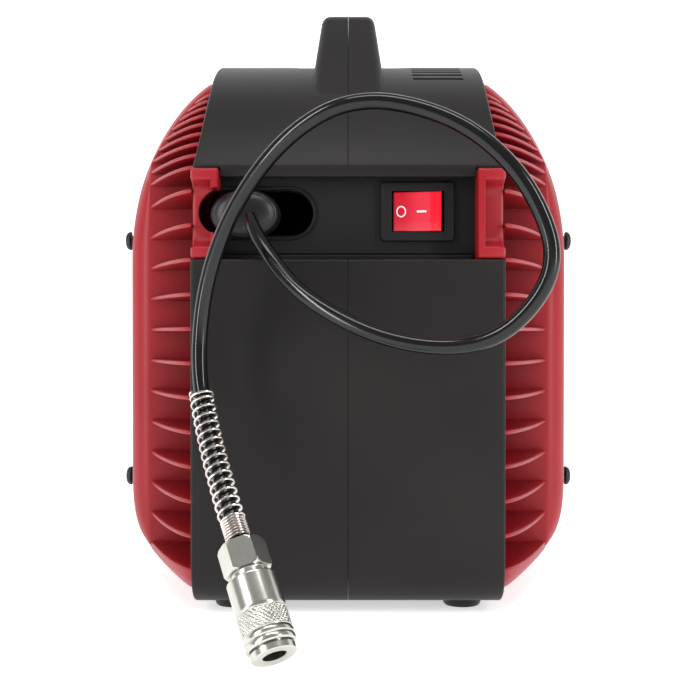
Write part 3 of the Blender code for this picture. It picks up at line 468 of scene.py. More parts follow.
def cover_z(y, inset=0.0):
    """The cover's height at depth y: centre + sqrt(radius^2 - y^2)."""
    return COVER_CENTRE_Z + np.sqrt((COVER_RADIUS - inset) ** 2 - y**2)


def band_outline(inset):
    """The side view of the band: front half given, rear half its mirror image."""
    wall_y = -FACIA_Y - 0.0033
    start_y = math.sqrt(COVER_RADIUS**2 - (RECESS_HIGH - COVER_CENTRE_Z) ** 2)
    crest = np.linspace(math.acos(start_y / COVER_RADIUS), math.pi / 2, 34)[1:-1]
    arc = [(COVER_RADIUS * math.cos(a), COVER_CENTRE_Z + COVER_RADIUS * math.sin(a)) for a in crest]
    half = [(HALF_DEPTH, FOOT_HEIGHT), (HALF_DEPTH, RECESS_LOW), (wall_y, RECESS_LOW)]
    half += [(wall_y, RECESS_HIGH), (start_y, RECESS_HIGH)] + arc
    radii = [0.020, 0.0016, 0.001, 0.001, 0.0014] + [0] * len(arc)
    points = half + [(-y, z) for y, z in reversed(half)]
    return filleted(points, radii + radii[::-1], inset)


def band_taper(z):
    """The band is 4 mm a side narrower at its crest: a curve 4 t (2 - t) that starts above the recess."""
    t = np.clip((z - RECESS_HIGH) / 0.05, 0, 1)
    return 0.004 * t * (2 - t)


def tapered(points):
    """Draws a grid of points in towards the crest: the band in proportion, shells less the further out."""
    x = np.abs(points[..., 0])
    inside = np.clip(x / BAND_HALF_WIDTH, 0, 1)
    outside = np.clip((SHELL_HALF_WIDTH - x) / (SHELL_HALF_WIDTH - BAND_HALF_WIDTH), 0, 1)
    share = np.where(x <= BAND_HALF_WIDTH, inside, outside)
    points[..., 0] -= np.sign(points[..., 0]) * band_taper(points[..., 2]) * share
    return points


# %% [markdown]
# Each half is the loop drawn at several distances from the seam, so it is a section carried round an
# outline. The hole for the hand well and the row of vents are cut through it afterwards, because a
# grid of points can't have a hole.

# %% Band shells


def carried(section, outline, side):
    """Carries a section of (x, inset) round an outline in the YZ plane: rows go round the outline."""
    columns = []
    for x, inset in section:
        yz = outline(inset)
        columns.append(np.column_stack([np.full(len(yz), side * x), yz]))
    return np.stack(columns, 1)


def round_edge(x, radius, count=5):
    """The (x, inset) points of an edge rounded from a face into a side at x."""
    a = np.linspace(0, np.pi / 2, count)
    return [(x - radius + radius * math.sin(t), radius - radius * math.cos(t)) for t in a]


BAND_SECTION = [(SEAM, WALL), (SEAM, 0.00018), (SEAM + 0.00018, 0)]
BAND_SECTION += round_edge(BAND_HALF_WIDTH, 0.0016)
BAND_SECTION += [(BAND_HALF_WIDTH, 0.0078), (BAND_HALF_WIDTH - WALL, 0.0078), (BAND_HALF_WIDTH - WALL, WALL)]


def block(name, low, high):
    """A plain closed box, used only to cut with."""
    bm = bmesh.new()
    bmesh.ops.create_cube(bm, size=1)
    size, middle = np.subtract(high, low), np.add(high, low) / 2
    for v in bm.verts:
        v.co = Vector(middle + size * np.array(v.co))
    mesh = bpy.data.meshes.new(name)
    bm.to_mesh(mesh)
    bm.free()
    obj = bpy.data.objects.new(name, mesh)
    bpy.context.scene.collection.objects.link(obj)
    return obj


well_low, well_high = box("hand_well")
halves = {}
for side, name in ((-1, "left"), (1, "right")):
    half = surface(f"band_{name}", tapered(carried(BAND_SECTION, band_outline, side)), True, True)
    cuts = [block("well", (-WELL_CUT[0], -WELL_CUT[1], 0.25), (*WELL_CUT, 0.32))]
    if side > 0:
        rows = -0.0745 + 0.0072 * np.arange(5)
        cuts += [block("vent", (0.036, y - 0.0016, 0.26), (0.064, y + 0.0016, 0.31)) for y in rows]
    halves[side] = carve(half, *cuts)
print("band halves:", [len(o.data.polygons) for o in halves.values()], "faces")

# %% [markdown]
# The handle is moulded with the band, half on each side of the seam. Its side view is one polygon:
# two legs lean in and a level grip joins them. The two outer edges along it are rounded so that they
# don't cut into a hand, and it widens towards the cover.

# %% Handle
HANDLE_HALF_WIDTH, HANDLE_BASE_HALF_WIDTH = 0.015, 0.0212
LEG_THICKNESS, GRIP_THICKNESS = 0.026, 0.022


def handle_outline(inset):
    """The legs run from a foot on the cover to a shoulder; corners are rounded by filleted."""
    foot = np.array([0.1105, cover_z(0.1105, 0.0015)])
    top = np.array([0.0425, HANDLE_TOP - 0.008])
    along = (foot - top) / np.linalg.norm(foot - top)
    shoulder = foot + along * (HANDLE_TOP - foot[1]) / along[1]
    inner = top + np.array([along[1], -along[0]]) * LEG_THICKNESS
    grip_end = inner + along * ((HANDLE_TOP - GRIP_THICKNESS - inner[1]) / along[1])
    half = [grip_end, grip_end + along * 0.0340, foot, shoulder]
    corners = [(y, z) for y, z in half] + [(-y, z) for y, z in reversed(half)]
    radii = [0.007, 0, 0, 0.018]
    return filleted(corners, radii + radii[::-1], inset, count=12)


def handle_half(side):
    """The outline at x, then inset round the edge to a flat side; all of it widens downwards."""
    section = [(SEAM, 0.00018), (SEAM + 0.00018, 0)] + round_edge(HANDLE_HALF_WIDTH, 0.0045, 7)
    grid = carried(section, handle_outline, side).transpose(1, 0, 2)
    down = np.clip((HANDLE_TOP - grid[..., 2]) / 0.064, 0, 1)
    grid[..., 0] *= 1 + (HANDLE_BASE_HALF_WIDTH / HANDLE_HALF_WIDTH - 1) * down
    handle = surface(f"handle_{side}", grid, wrap_columns=True, caps=True)
    cut_top = HANDLE_TOP - GRIP_THICKNESS - 0.001
    return carve(handle, block("well", (-WELL_CUT[0], -WELL_CUT[1], 0.25), (*WELL_CUT, cut_top)))


def cover_lip(side):
    """The cover's front edge turns down in a narrow band over the recess: a small rounded bar."""
    edge_y = math.sqrt(COVER_RADIUS**2 - (RECESS_HIGH - COVER_CENTRE_Z) ** 2)
    corners = [(-edge_y + 0.0002, RECESS_HIGH + 0.0012), (-edge_y + 0.0002, RECESS_HIGH - 0.0040)]
    corners += [(-edge_y + 0.0035, RECESS_HIGH - 0.0040), (-edge_y + 0.0035, RECESS_HIGH + 0.0012)]
    outline = filleted(corners, [0.0005, 0.0009, 0.0009, 0.0005], count=5)
    x = side * np.array([SEAM, 0.0647])
    grid = np.stack([np.column_stack([np.full(len(outline), v), outline]) for v in x])
    return surface(f"lip_{side}", grid, wrap_columns=True, caps=True)


for side, name in ((-1, "left"), (1, "right")):
    half = joined(f"band_shell_{name}", [halves[side], handle_half(side), cover_lip(side)])
    half.data.materials.clear()
    half.data.materials.append(black_plastic)
    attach(half, "casing")
    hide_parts(f"housing_{name}")
    halves[side] = half
print("handle top at", round(HANDLE_TOP, 4))

# %% [markdown]
# Each side shell is one red moulding. A flange follows the band's outline a little inside it. A dome
# bulges from its middle, and level cooling fins fill the corners between the dome's end faces and the
# flange. The dome is a loft: its front outline is crowned a little along the depth and turned in by a
# round corner at both ends. The fins are plates with rounded rims, so their edges catch the light,
# and under the lowest of them the corner is filled by a smooth skirt.

# %% Side shells
SHELL_INNER_X, FLANGE, SETBACK = BAND_HALF_WIDTH + 0.0003, 0.003, 0.006
DOME_HALF_DEPTH, DOME_FACE_X, DOME_CORNER, DOME_EDGE = 0.0545, 0.1133, 0.012, 0.0055
FIN_THICKNESS, FIN_PITCH, FIN_LOWEST, SKIRT_LOW = 0.0021, 0.0175, 0.0225, 0.0125
FIN_COUNT, TOP_FIN_COUNT, TOP_FIN_ARC_PITCH = 12, 9, 0.0083
RIM_DEPTH = 0.009  # the flange stays this far behind the fins' front ends


def silhouette_x(z):
    """The shell's half width: straight up to z 0.188, with superellipse corners |u|^n + |v|^n = 1 below
    and above. The exponent is 3.2 at the foot, a square corner, and 1.9 at the top, a round one."""
    low = np.clip((0.065 - z) / 0.055, 0, 1)
    high = np.clip((z - 0.188) / 0.115, 0, 1)
    below = 0.078 + (SHELL_HALF_WIDTH - 0.078) * (1 - low**3.2) ** (1 / 3.2)
    above = 0.057 + (SHELL_HALF_WIDTH - 0.057) * (1 - high**1.9) ** (1 / 1.9)
    return np.where(z < 0.065, below, np.where(z > 0.188, above, SHELL_HALF_WIDTH))


def face_x(z):
    """Half width of the dome's end faces, which the fins also reach."""
    return np.minimum(DOME_FACE_X, silhouette_x(z) - DOME_EDGE)


def dome_x(y, z):
    """Crowned by 1 - 0.132 (y / depth)^2, then turned in to the end face by a quarter-round corner."""
    crowned = SHELL_INNER_X + (silhouette_x(z) - SHELL_INNER_X) * (1 - 0.132 * (y / DOME_HALF_DEPTH) ** 2)
    past = np.clip((np.abs(y) - DOME_HALF_DEPTH + DOME_CORNER) / DOME_CORNER, 0, 1)
    return crowned - np.maximum(0, crowned - face_x(z)) * (1 - np.sqrt(1 - past**2))


def shell_outline(inset):
    """The flange's side view: the band's loop without its recess, drawn in by the setback and the inset."""
    depth, radius = HALF_DEPTH - SETBACK, COVER_RADIUS - SETBACK
    angles = np.linspace(math.acos(depth / radius), math.pi / 2, 30)[:-1]
    arc = [(radius * math.cos(a), COVER_CENTRE_Z + radius * math.sin(a)) for a in angles]
    half = [(depth, FOOT_HEIGHT + SETBACK)] + arc
    points = half + [(0, COVER_CENTRE_Z + radius)] + [(-y, z) for y, z in reversed(half)]
    radii = [0.014, 0.03] + [0] * (len(arc) - 1)
    outline = filleted(points, radii + [0] + radii[::-1], inset)
    outline[:, 0] = np.clip(outline[:, 0], inset - depth, depth - inset)
    return outline


def shell_front_y(z):
    """How far forward the flange's rim reaches at height z, read off the outline."""
    outline = shell_outline(0)
    right = outline[outline[:, 0] > 0]
    right = right[np.argsort(right[:, 1])]
    return float(np.interp(z, right[:, 1], right[:, 0]))


def dome_skin(side):
    """Rows run front to back and columns up: x from dome_x, z bent down along the cover's arc. The first
    and last rows close the flat ends, and the first and last columns close the foot and the crest."""
    z0, z1 = 0.0103, 0.293
    t = np.linspace(0, np.pi, 72)
    z = (z0 + z1) / 2 - (z1 - z0) / 2 * np.cos(t)
    z = np.unique(np.append(z, np.linspace(z0, z1, 40)))
    y = DOME_HALF_DEPTH * np.sin(np.linspace(-np.pi / 2, np.pi / 2, 61))
    y, zz = np.meshgrid(y, z, indexing="ij")
    reach = dome_x(y, zz) - SHELL_INNER_X
    drop = COVER_TOP - cover_z(y)
    high = np.clip((zz - COVER_CENTRE_Z) / (COVER_TOP - COVER_CENTRE_Z), 0, 1)
    grid = np.stack([SHELL_INNER_X + np.maximum(reach, 0.0005), y, zz - drop * high], -1)
    first, last = grid[:1].copy(), grid[-1:].copy()
    first[..., 0] = last[..., 0] = SHELL_INNER_X
    grid = np.concatenate([first, grid, last])
    base, crest = grid[:, :1].copy(), grid[:, -1:].copy()
    base[..., 0] = crest[..., 0] = SHELL_INNER_X
    grid = np.concatenate([base, grid, crest], 1)
    grid[..., 0] *= side
    return surface(f"dome_{side}", tapered(grid), caps=False)


def fin_heights():
    """Evenly spaced up the straight sides, then evenly spaced along the arc under the cover."""
    low = FIN_LOWEST + FIN_PITCH * np.arange(FIN_COUNT)
    radius = COVER_RADIUS - SETBACK
    start = math.asin((low[-1] + 0.013 - COVER_CENTRE_Z) / radius)
    angles = start + TOP_FIN_ARC_PITCH / radius * np.arange(TOP_FIN_COUNT)
    return np.append(low, COVER_CENTRE_Z + radius * np.sin(angles))


def unbent_z(z):
    """The height, before the dome is bent down along the cover's arc, of what its end face has at z."""
    drop = (COVER_TOP - cover_z(DOME_HALF_DEPTH)) / (COVER_TOP - COVER_CENTRE_Z)
    return z if z < COVER_CENTRE_Z else (z - drop * COVER_CENTRE_Z) / (1 - drop)


def fin_corners(z):
    """x = root + reach s^0.7 as y runs from the flange's edge to the dome, closed along the root."""
    front, reach = shell_front_y(z), float(face_x(unbent_z(z))) - SHELL_INNER_X
    s = np.append(0.02, np.linspace(0.16, 1.0, 26) ** 1.7)
    curve = np.column_stack([SHELL_INNER_X + reach * s**0.7, front + (DOME_HALF_DEPTH - front) * s])
    inside = DOME_HALF_DEPTH - 0.004
    root = SHELL_INNER_X + 0.0001
    return np.vstack([(root, inside), (curve[-1][0] - 0.0012, inside), curve[::-1], (root, front)])


def fin(side, end, z):
    """A level plate with a round rim: the outline drawn in by 1.1 mm (1 - cos a) at height sin a."""
    corners, half = fin_corners(z), FIN_THICKNESS / 2
    rows = []
    for a in np.linspace(-90, 90, 9):
        bend = math.radians(a)
        inset = 0.0011 * (1 - math.cos(bend))
        outline = polygon_inset(corners, inset)
        height = np.full(len(outline), z + half * math.sin(bend))
        rows.append(np.column_stack([side * outline[:, 0], end * outline[:, 1], height]))
    return surface("fin", tapered(np.stack(rows)), wrap_columns=True, caps=True)


def skirt(side, end):
    """The corner under the lowest fin is filled: fin outlines stacked from the shell's foot."""
    rows = []
    for z in np.linspace(SKIRT_LOW, FIN_LOWEST, 10):
        x, y = fin_corners(z).T
        rows.append(np.column_stack([side * x, end * y, np.full(len(x), z)]))
    return surface("skirt", tapered(np.stack(rows)), wrap_columns=True, caps=True)


for side, name in ((-1, "left"), (1, "right")):
    section = [(SHELL_INNER_X, 0.016), (SHELL_INNER_X, RIM_DEPTH), (SHELL_INNER_X + 0.0004, RIM_DEPTH)]
    section += [(SHELL_INNER_X + FLANGE, RIM_DEPTH + 0.025), (SHELL_INNER_X + FLANGE, 0.085)]
    flange = surface(f"flange_{side}", tapered(carried(section, shell_outline, side)), wrap_rows=True)
    fins = [fin(side, end, z) for z in fin_heights() for end in (-1, 1)]
    skirts = [skirt(side, end) for end in (-1, 1)]
    shell = joined(f"red_shell_{name}", [flange, dome_skin(side)] + fins + skirts)
    shell.data.materials.append(red_plastic)
    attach(shell, "casing")
    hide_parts(f"side_shell_{name}")
    print(shell.name, len(shell.data.polygons), "faces")

# %% [markdown]
# In the front recess a flat black facia carries the switch and the slot for the hose. At its two ends
# sit red blocks with rounded lips above and below: a turn of the hose can lie between them. Each is a
# short channel, so it is one section carried along X, with a flat strip at its inner end.

# %% Facia and hose hooks


def placed(obj, body, node, material, replaces=True):
    """Gives a piece its material and its body, and hides the CAD node that it stands for when it replaces it.
    """
    if material:
        obj.data.materials.clear()
        obj.data.materials.append(material)
    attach(obj, body)
    if replaces:
        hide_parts(node)
    return obj


def stadium(grow, y, count=14):
    """The rounded slot's outline in the XZ plane, as points at depth y."""
    left, right, low, high = -0.0760, -0.018, 0.193, 0.216
    radius, middle = (high - low) / 2, (high + low) / 2
    a = np.linspace(np.pi / 2, 1.5 * np.pi, count)
    x = np.append(left + radius + (radius + grow) * np.cos(a), right - radius - (radius + grow) * np.cos(a))
    z = middle + (radius + grow) * np.append(np.sin(a), -np.sin(a))
    return np.column_stack([x, np.full(2 * count, y), z])


def ring_surface(name, outlines, **options):
    return surface(name, np.stack(outlines), wrap_columns=True, **options)


def slot_cutter(grow=0.0):
    return ring_surface("slot_cutter", [stadium(grow, -0.20), stadium(grow, -0.10)], caps=True)


def slab(name, x0, x1, z0, z1, front, back, edge, corner):
    """A plate in the XZ plane with rounded corners and a rounded front edge."""
    corners = [(x0, z0), (x1, z0), (x1, z1), (x0, z1)]
    rows = []
    for a in np.linspace(0, np.pi / 2, 5):
        outline = filleted(corners, [corner] * 4, edge * (1 - math.sin(a)), count=6)
        rows.append(np.insert(outline, 1, front + edge * (1 - math.cos(a)), axis=1))
    rows[0][:, 1] = front
    rows.append(np.insert(filleted(corners, [corner] * 4, 0, count=6), 1, back, axis=1))
    return ring_surface(name, rows, caps=True)


PANEL_X = 0.0785
switch_low, switch_high = box("switch_frame")
switch_mid = (switch_low + switch_high) / 2


def switch_hole():
    half = (0.0152, 0.0123)
    low = (switch_mid[0] - half[0], -0.2, switch_mid[2] - half[1])
    return block("switch_hole", low, (switch_mid[0] + half[0], -0.1, switch_mid[2] + half[1]))


facia = slab(
    "facia", -PANEL_X, PANEL_X, facia_low[2], facia_high[2], FACIA_Y, FACIA_Y + 0.003, 0.0004, 0.0006
)
carve(facia, slot_cutter(), switch_hole())
ridge = [(0, 0.002), (0, -0.0007), (0.0003, -0.0011), (0.0006, -0.0007), (0.0009, -0.0005)]
ridge += [(0.0015, -0.0005), (0.0018, -0.0008), (0.0021, -0.0011), (0.0024, -0.0007), (0.0024, 0.0002)]
bead = [stadium(grow, FACIA_Y + depth) for grow, depth in ridge]
rail_z = float(facia_low[2])
rails = []
for lift, high, out in ((0.0003, 0.0024, 0.0026), (0.0034, 0.0012, 0.0016)):
    low = rail_z + lift
    rails.append(slab("rail", -0.064, 0.064, low, low + high, FACIA_Y - out, FACIA_Y + 0.0005, 0.0004, 0.0002))
facia = joined("facia", [facia, ring_surface("bead", bead)] + rails)
placed(facia, "casing", "control_panel", inner_black)


def hook(side):
    """Lips of 4 mm above and below a hollow whose floor is a cylinder, carried out to the band's side."""
    z0, z1 = RECESS_LOW + 0.0003, RECESS_HIGH - 0.0003
    front, back, floor = -HALF_DEPTH + 0.0005, FACIA_Y - 0.0003, -HALF_DEPTH + 0.0115
    lip = 0.0058
    hollow = [(back, z0), (front, z0), (front, z0 + lip), (floor, z0 + lip + 0.0032)]
    hollow += [(floor, z1 - lip - 0.0032), (front, z1 - lip), (front, z1), (back, z1)]
    hollow_radii = [0.0003, 0.0022, 0.0016, 0.006, 0.006, 0.0016, 0.0022, 0.0003]
    solid = [(back, z0), (front, z0), (front, z1), (back, z1)]
    solid_radii = [0.0003, 0.0022, 0.0022, 0.0003]

    def drawn_out(name, section, radii, count, stations):
        """The section at each x, drawn in by that station's inset."""
        rows = []
        for x, inset in stations:
            yz = filleted(section, radii, inset, count)
            rows.append(np.column_stack([np.full(len(yz), side * x), yz]))
        return ring_surface(name, rows, caps=True)

    stations = [(0.0680, 0.0006), (0.0685, 0), (0.0775, 0), (0.0785, 0.0004)]
    stations.append((BAND_HALF_WIDTH - 0.0001, 0.0012))
    channel = drawn_out("channel", hollow, hollow_radii, 8, stations)
    stations = [(0.0651, 0.0008), (0.0656, 0), (0.0684, 0), (0.0688, 0.0004)]
    post = drawn_out("post", solid, solid_radii, 16, stations)
    if side < 0:
        carve(channel, slot_cutter(0.0003))
        carve(post, slot_cutter(0.0003))
    return [channel, post]


carve(halves[-1], slot_cutter())
carve(halves[1], switch_hole())
for side, name in ((-1, "left"), (1, "right")):
    piece = joined(f"hose_hook_{name}", hook(side))
    placed(piece, "casing", f"hook_{name}", red_plastic)
print("facia and hooks made")

# %% [markdown]
# The switch is a standard snap-in rocker: a black frame with a rim, and a red rocker that leans
# towards OFF, so its face is two planes that meet in a low ridge. A ring and a bar are printed on it.

# %% Switch
frame_front = switch_low[1]
rocker_place = (switch_mid[0], frame_front + 0.002, switch_mid[2])
PRINT_THICKNESS = 0.00012
outer = slab(
    "rim", switch_low[0], switch_high[0], switch_low[2], switch_high[2],
    frame_front, FACIA_Y - 0.0003, 0.0009, 0.0022,
)
opening = (0.0134, 0.0105)
opening_low = (switch_mid[0] - opening[0], -0.14, switch_mid[2] - opening[1])
opening_high = (switch_mid[0] + opening[0], -0.1, switch_mid[2] + opening[1])
carve(outer, block("opening", opening_low, opening_high))
tub_walls = []
tub_depths = [(0, frame_front + 0.0004), (0, switch_high[1])]
tub_depths += [(0.0015, switch_high[1]), (0.0015, FACIA_Y - 0.0004)]
for grow, y in tub_depths:
    x, z = opening[0] + grow, opening[1] + grow
    corners = np.array([(-x, y, -z), (x, y, -z), (x, y, z), (-x, y, z)])
    tub_walls.append(corners + (switch_mid[0], 0, switch_mid[2]))
frame_skin = joined("switch_rim", [outer, ring_surface("tub", tub_walls)])
placed(frame_skin, "casing", "switch_frame", inner_black)


def rocker_at(x, rise=0.0):
    """The face's depth at x before it is leaned: two planes, 0.8 mm apart at the ridge, and the lean."""
    tilt = math.radians(9)
    level = -0.0018 - 0.0008 * np.abs(x) / 0.0125 - rise
    return x * math.cos(tilt) + level * math.sin(tilt), -x * math.sin(tilt) + level * math.cos(tilt)


def rocker_skin():
    """Rows run across the rocker; each is a rounded outline in Z and depth that follows the face."""
    half_w, half_h, edge = 0.0125, 0.0102, 0.0007
    middle = np.linspace(-half_w + edge, half_w - edge, 25)
    x = np.concatenate([[-half_w, -half_w + 0.0002], middle, [half_w - 0.0002, half_w]])
    sunk = np.concatenate([[edge, 0.0002], np.zeros(25), [0.0002, edge]])
    a = np.linspace(0, np.pi / 2, 6)
    z = np.append(-half_h + edge - edge * np.cos(a), half_h - edge + edge * np.cos(a[::-1]))
    fall = np.append(edge * (1 - np.sin(a)), edge * (1 - np.sin(a[::-1])))
    fx, fy = rocker_at(x)
    rows = []
    for u, v, s in zip(fx, fy, sunk):
        front = np.column_stack([np.full(12, u), v + np.maximum(fall, s), z])
        back = np.array([(u, 0.0035, half_h), (u, 0.0035, -half_h)])
        rows.append(np.vstack([front, back]))
    grid = np.stack(rows) + rocker_place
    return surface("rocker_skin", grid, wrap_columns=True, caps=True)


placed(rocker_skin(), "rocker", "switch_rocker", rocker_material)


def ring_mark(x0, radius, width, stretch=0.85):
    """The printed ring: two circles, narrowed to stretch across, on the leaned face and just above it."""
    a = np.linspace(0, 2 * np.pi, 40, endpoint=False)
    rows = []
    inner = radius - width
    for r, rise in ((inner, 0), (inner, PRINT_THICKNESS), (radius, PRINT_THICKNESS), (radius, 0)):
        x, y = rocker_at(x0 + stretch * r * np.cos(a), rise)
        rows.append(np.column_stack([x, y, r * np.sin(a)]))
    grid = np.stack(rows) + rocker_place
    return ring_surface("mark_off", grid)


def bar_mark(x0, x1, width):
    """The printed bar: a rectangle on the leaned face, raised by the print's thickness."""
    rows = []
    for rise in (0, PRINT_THICKNESS):
        x, y = rocker_at(np.array([x0, x1, x1, x0]), rise)
        rows.append(np.column_stack([x, y, np.array([-1, -1, 1, 1]) * width / 2]))
    grid = np.stack(rows) + rocker_place
    return ring_surface("mark_on", grid, caps=True)


marks = joined("switch_marks", [ring_mark(-0.0083, 0.0029, 0.0006), bar_mark(-0.0003, 0.0046, 0.0010)])
placed(marks, "rocker", None, white_print, replaces=False)
print("switch made")

# %% [markdown]
# A rubber ball holds the hose where it leaves the casing. It is flattened, with a round rim, a fine
# groove near the rim and a nearly flat face, and the hose comes straight out of that face. It sits in
# the slot's left end. Its half widths follow one superellipse, which is fuller than an ellipse.

# %% Ball grommet
ball_low = box("hose_grommet")[0]
ball_centre = np.array([-0.052, (ball_low[1] + FACIA_Y) / 2 + 0.0018, 0.203])


def ball_grommet():
    """Rings round the Y axis: |r|^2.6 + |d|^2.6 = 1 for the front, and a plainer taper for the back."""
    t = np.linspace(0.02, 0.5 * np.pi, 18)
    reach = np.concatenate([np.sin(t) ** (2 / 2.6), [0.99, 0.965, 0.90, 0.60]])
    depth = np.concatenate([-np.cos(t) ** (2 / 2.6), [0.04, 0.06, 0.30, 0.62]])
    reach = np.insert(reach, 11, [reach[10] * 0.5 + reach[11] * 0.5 - 0.012])
    depth = np.insert(depth, 11, [depth[10] * 0.5 + depth[11] * 0.5 + 0.012])
    a = np.linspace(0, 2 * np.pi, 48, endpoint=False)
    front_depth = ball_centre[1] - ball_low[1] - 0.0002
    along = np.repeat(depth[:, None] * front_depth, len(a), 1)
    grid = np.stack([np.outer(reach, 0.0179 * np.cos(a)), along, np.outer(reach, 0.0129 * np.sin(a))], -1)
    return surface("ball", grid + ball_centre, wrap_columns=True, caps=True)


placed(ball_grommet(), "casing", "hose_grommet", rubber)

# %% [markdown]
# Near its end the hose is guarded by a spring. Most of it is wound open, so that it bends with the
# hose, and the last coils are wound close where it meets the coupler. It is one helix whose angle
# advances at a rate set by the pitch; the hose's path carries it.

# %% Spring guard
WIRE_DIAMETER, SPRING_RADIUS = 0.00125, 0.00565
GUARDED, CLOSED = 0.084, 0.0125  # lengths of hose under the whole spring and under its close coils
dense_points, dense_length = smooth_route(HOSE_ROUTE, 0.0005)


def helix_angle(s):
    """Turns since the top: the pitch is 2.2 mm for the first two coils, then 4.7 mm, and last 1.4 mm."""
    pitch = np.where(s < 0.0045, 0.0022, np.where(s < GUARDED - CLOSED, 0.0047, 0.00142))
    return 2 * np.pi * np.append(0, np.cumsum(np.diff(s) / pitch[:-1]))


def helix_points(count):
    s = np.linspace(0.0012, GUARDED - 0.0016, count)
    along_path = dense_length - GUARDED + s
    position = along_path / dense_length * (len(dense_points) - 1)
    _, side, up = frames_along(dense_points)
    at = np.arange(len(dense_points))
    fields = (dense_points, side, up)
    centre, u, v = (np.stack([np.interp(position, at, f[:, k]) for k in range(3)], -1) for f in fields)
    a = helix_angle(s)[:, None]
    radius = np.where(s < GUARDED - CLOSED, SPRING_RADIUS, SPRING_RADIUS - 0.0004)[:, None]
    return centre + radius * (u * np.cos(a) + v * np.sin(a))


def helix_tube(points, radius, steps):
    """As tube_grid, but the sideways vector is kept square to the path with one cross product."""
    along = np.gradient(points, axis=0)
    along /= np.linalg.norm(along, axis=1)[:, None]
    axis = points[-1] - points[0]
    side = np.cross(along, axis / np.linalg.norm(axis))
    side /= np.linalg.norm(side, axis=1)[:, None]
    up = np.cross(along, side)
    a = np.linspace(0, 2 * np.pi, steps, endpoint=False)[None, :, None]
    return points[:, None] + radius * (side[:, None] * np.cos(a) + up[:, None] * np.sin(a))


coils = helix_tube(helix_points(1500), WIRE_DIAMETER / 2, 10)
spring = surface("spring_wire", coils, wrap_columns=True, caps=True)
placed(spring, "casing", "spring_guard", wire)

# %% [markdown]
# The coupler is a quick-release socket. Its hexagon takes a spanner, and has its corners turned off at
# both ends. The sleeve slides back to let a plug go, so it has a band of diamond knurling for the
# fingers. Both are made as grids of radius against distance along the axis and angle round it.

# %% Coupler
coupler_axis = np.array([0.0170, -0.0285, -0.0422])
coupler_axis /= np.linalg.norm(coupler_axis)
coupler_start = HOSE_ROUTE[-1] + coupler_axis * 0.0009
coupler_side = np.cross(coupler_axis, (0, 0, 1.0))
coupler_side /= np.linalg.norm(coupler_side)
coupler_up = np.cross(coupler_axis, coupler_side)


def along_coupler(name, h, radius, **options):
    """A grid whose row i is at distance h[i]; radius is (rows, columns), and angles are even."""
    radius = np.broadcast_to(radius, (len(h), radius.shape[-1]))
    a = np.linspace(0, 2 * np.pi, radius.shape[1], endpoint=False)
    ring = coupler_side * np.cos(a)[:, None] + coupler_up * np.sin(a)[:, None]
    grid = coupler_start + h[:, None, None] * coupler_axis + radius[..., None] * ring
    return surface(name, grid, wrap_columns=True, **options)


def hexagon():
    """The smaller of a hexagon's radius and a cone's that turns its corners off at each end."""
    steps = 144
    a = np.linspace(0, 2 * np.pi, steps, endpoint=False)
    flat = 0.0095 / np.cos((a + np.pi / 6) % (np.pi / 3) - np.pi / 6)
    h = np.array([0, 0, 0.0003, 0.0006, 0.0010, 0.0030, 0.0068])
    h = np.append(h, 0.0136 - h[5::-1])
    cone = np.interp(h, [0, 0.0010, 0.0126, 0.0136], [0.0100, 0.01095, 0.01095, 0.0100])
    radius = np.minimum(flat[None, :], cone[:, None])
    radius[0] = radius[-1] = 0.0066
    return along_coupler("hexagon", h, radius)


def body_core():
    """The body under the sleeve as a turned profile: neck, shank, front lip, then back inside the mouth."""
    profile = [(0.0001, 0.0040), (0.0001, 0.0066), (0.0138, 0.0066), (0.0138, 0.0084), (0.0145, 0.0085)]
    profile += [(0.0150, 0.0085), (0.0496, 0.0085), (0.0498, 0.0097), (0.0501, 0.0100), (0.0527, 0.0100)]
    profile += [(0.0530, 0.0097), (0.0530, 0.0056), (0.0526, 0.0052), (0.0290, 0.0051), (0.0290, 0.0)]
    h, r = np.array(profile).T
    return along_coupler("core", h, np.repeat(np.maximum(r, 1e-5)[:, None], 64, 1))


def knurled_sleeve():
    """Radius 11.2 mm less grooves; the knurl is the product of two opposed spirals of ridges."""
    low, high, rim = 0.0170, 0.0491, 0.0009
    h = [np.linspace(low, high, 60), np.linspace(0.0336, 0.0424, 90), low + np.array([0.0003, 0.0006, rim])]
    h = np.unique(np.concatenate(h))
    a = np.linspace(0, 2 * np.pi, 256, endpoint=False)
    radius = np.full((len(h), len(a)), 0.0112)
    edge = np.minimum(np.minimum(h - low, high - h), rim)
    radius -= (rim - np.sqrt(rim**2 - (rim - edge) ** 2))[:, None]
    for middle, half in ((0.0333, 0.0005), (0.0427, 0.0006), (0.0460, 0.0004)):
        radius -= 0.0005 * np.exp(-(((h - middle) / half) ** 2))[:, None]
    inside = np.clip(np.minimum(h - 0.0338, 0.0422 - h) / 0.0004, 0, 1)[:, None]
    u, v = a[None, :] * 32, h[:, None] * 2 * np.pi / 0.0022
    ridge = np.abs(np.sin((u + v) / 2)) * np.abs(np.sin((u - v) / 2))
    radius = radius - 0.00055 * inside * (1 - ridge)
    h = np.concatenate([[low], h, [high]])
    hole = np.full((1, len(a)), 0.0088)
    return along_coupler("sleeve", h, np.vstack([hole, radius, hole]), wrap_rows=True)


coupler = joined("coupler_turning", [hexagon(), body_core()])
placed(coupler, "casing", "coupler_body", nickel)
sleeve = placed(knurled_sleeve(), "sleeve", "coupler_sleeve", nickel)

# %% [markdown]
# The hose is one flexible thing of a fixed length, with the spring, the coupler and its sleeve on its
# end. Here it gets its finish and joins the casing's body.

placed(hose, "casing", "hose", hose_material)
print("hose declared:", round(float(hose_length), 3), "m long")

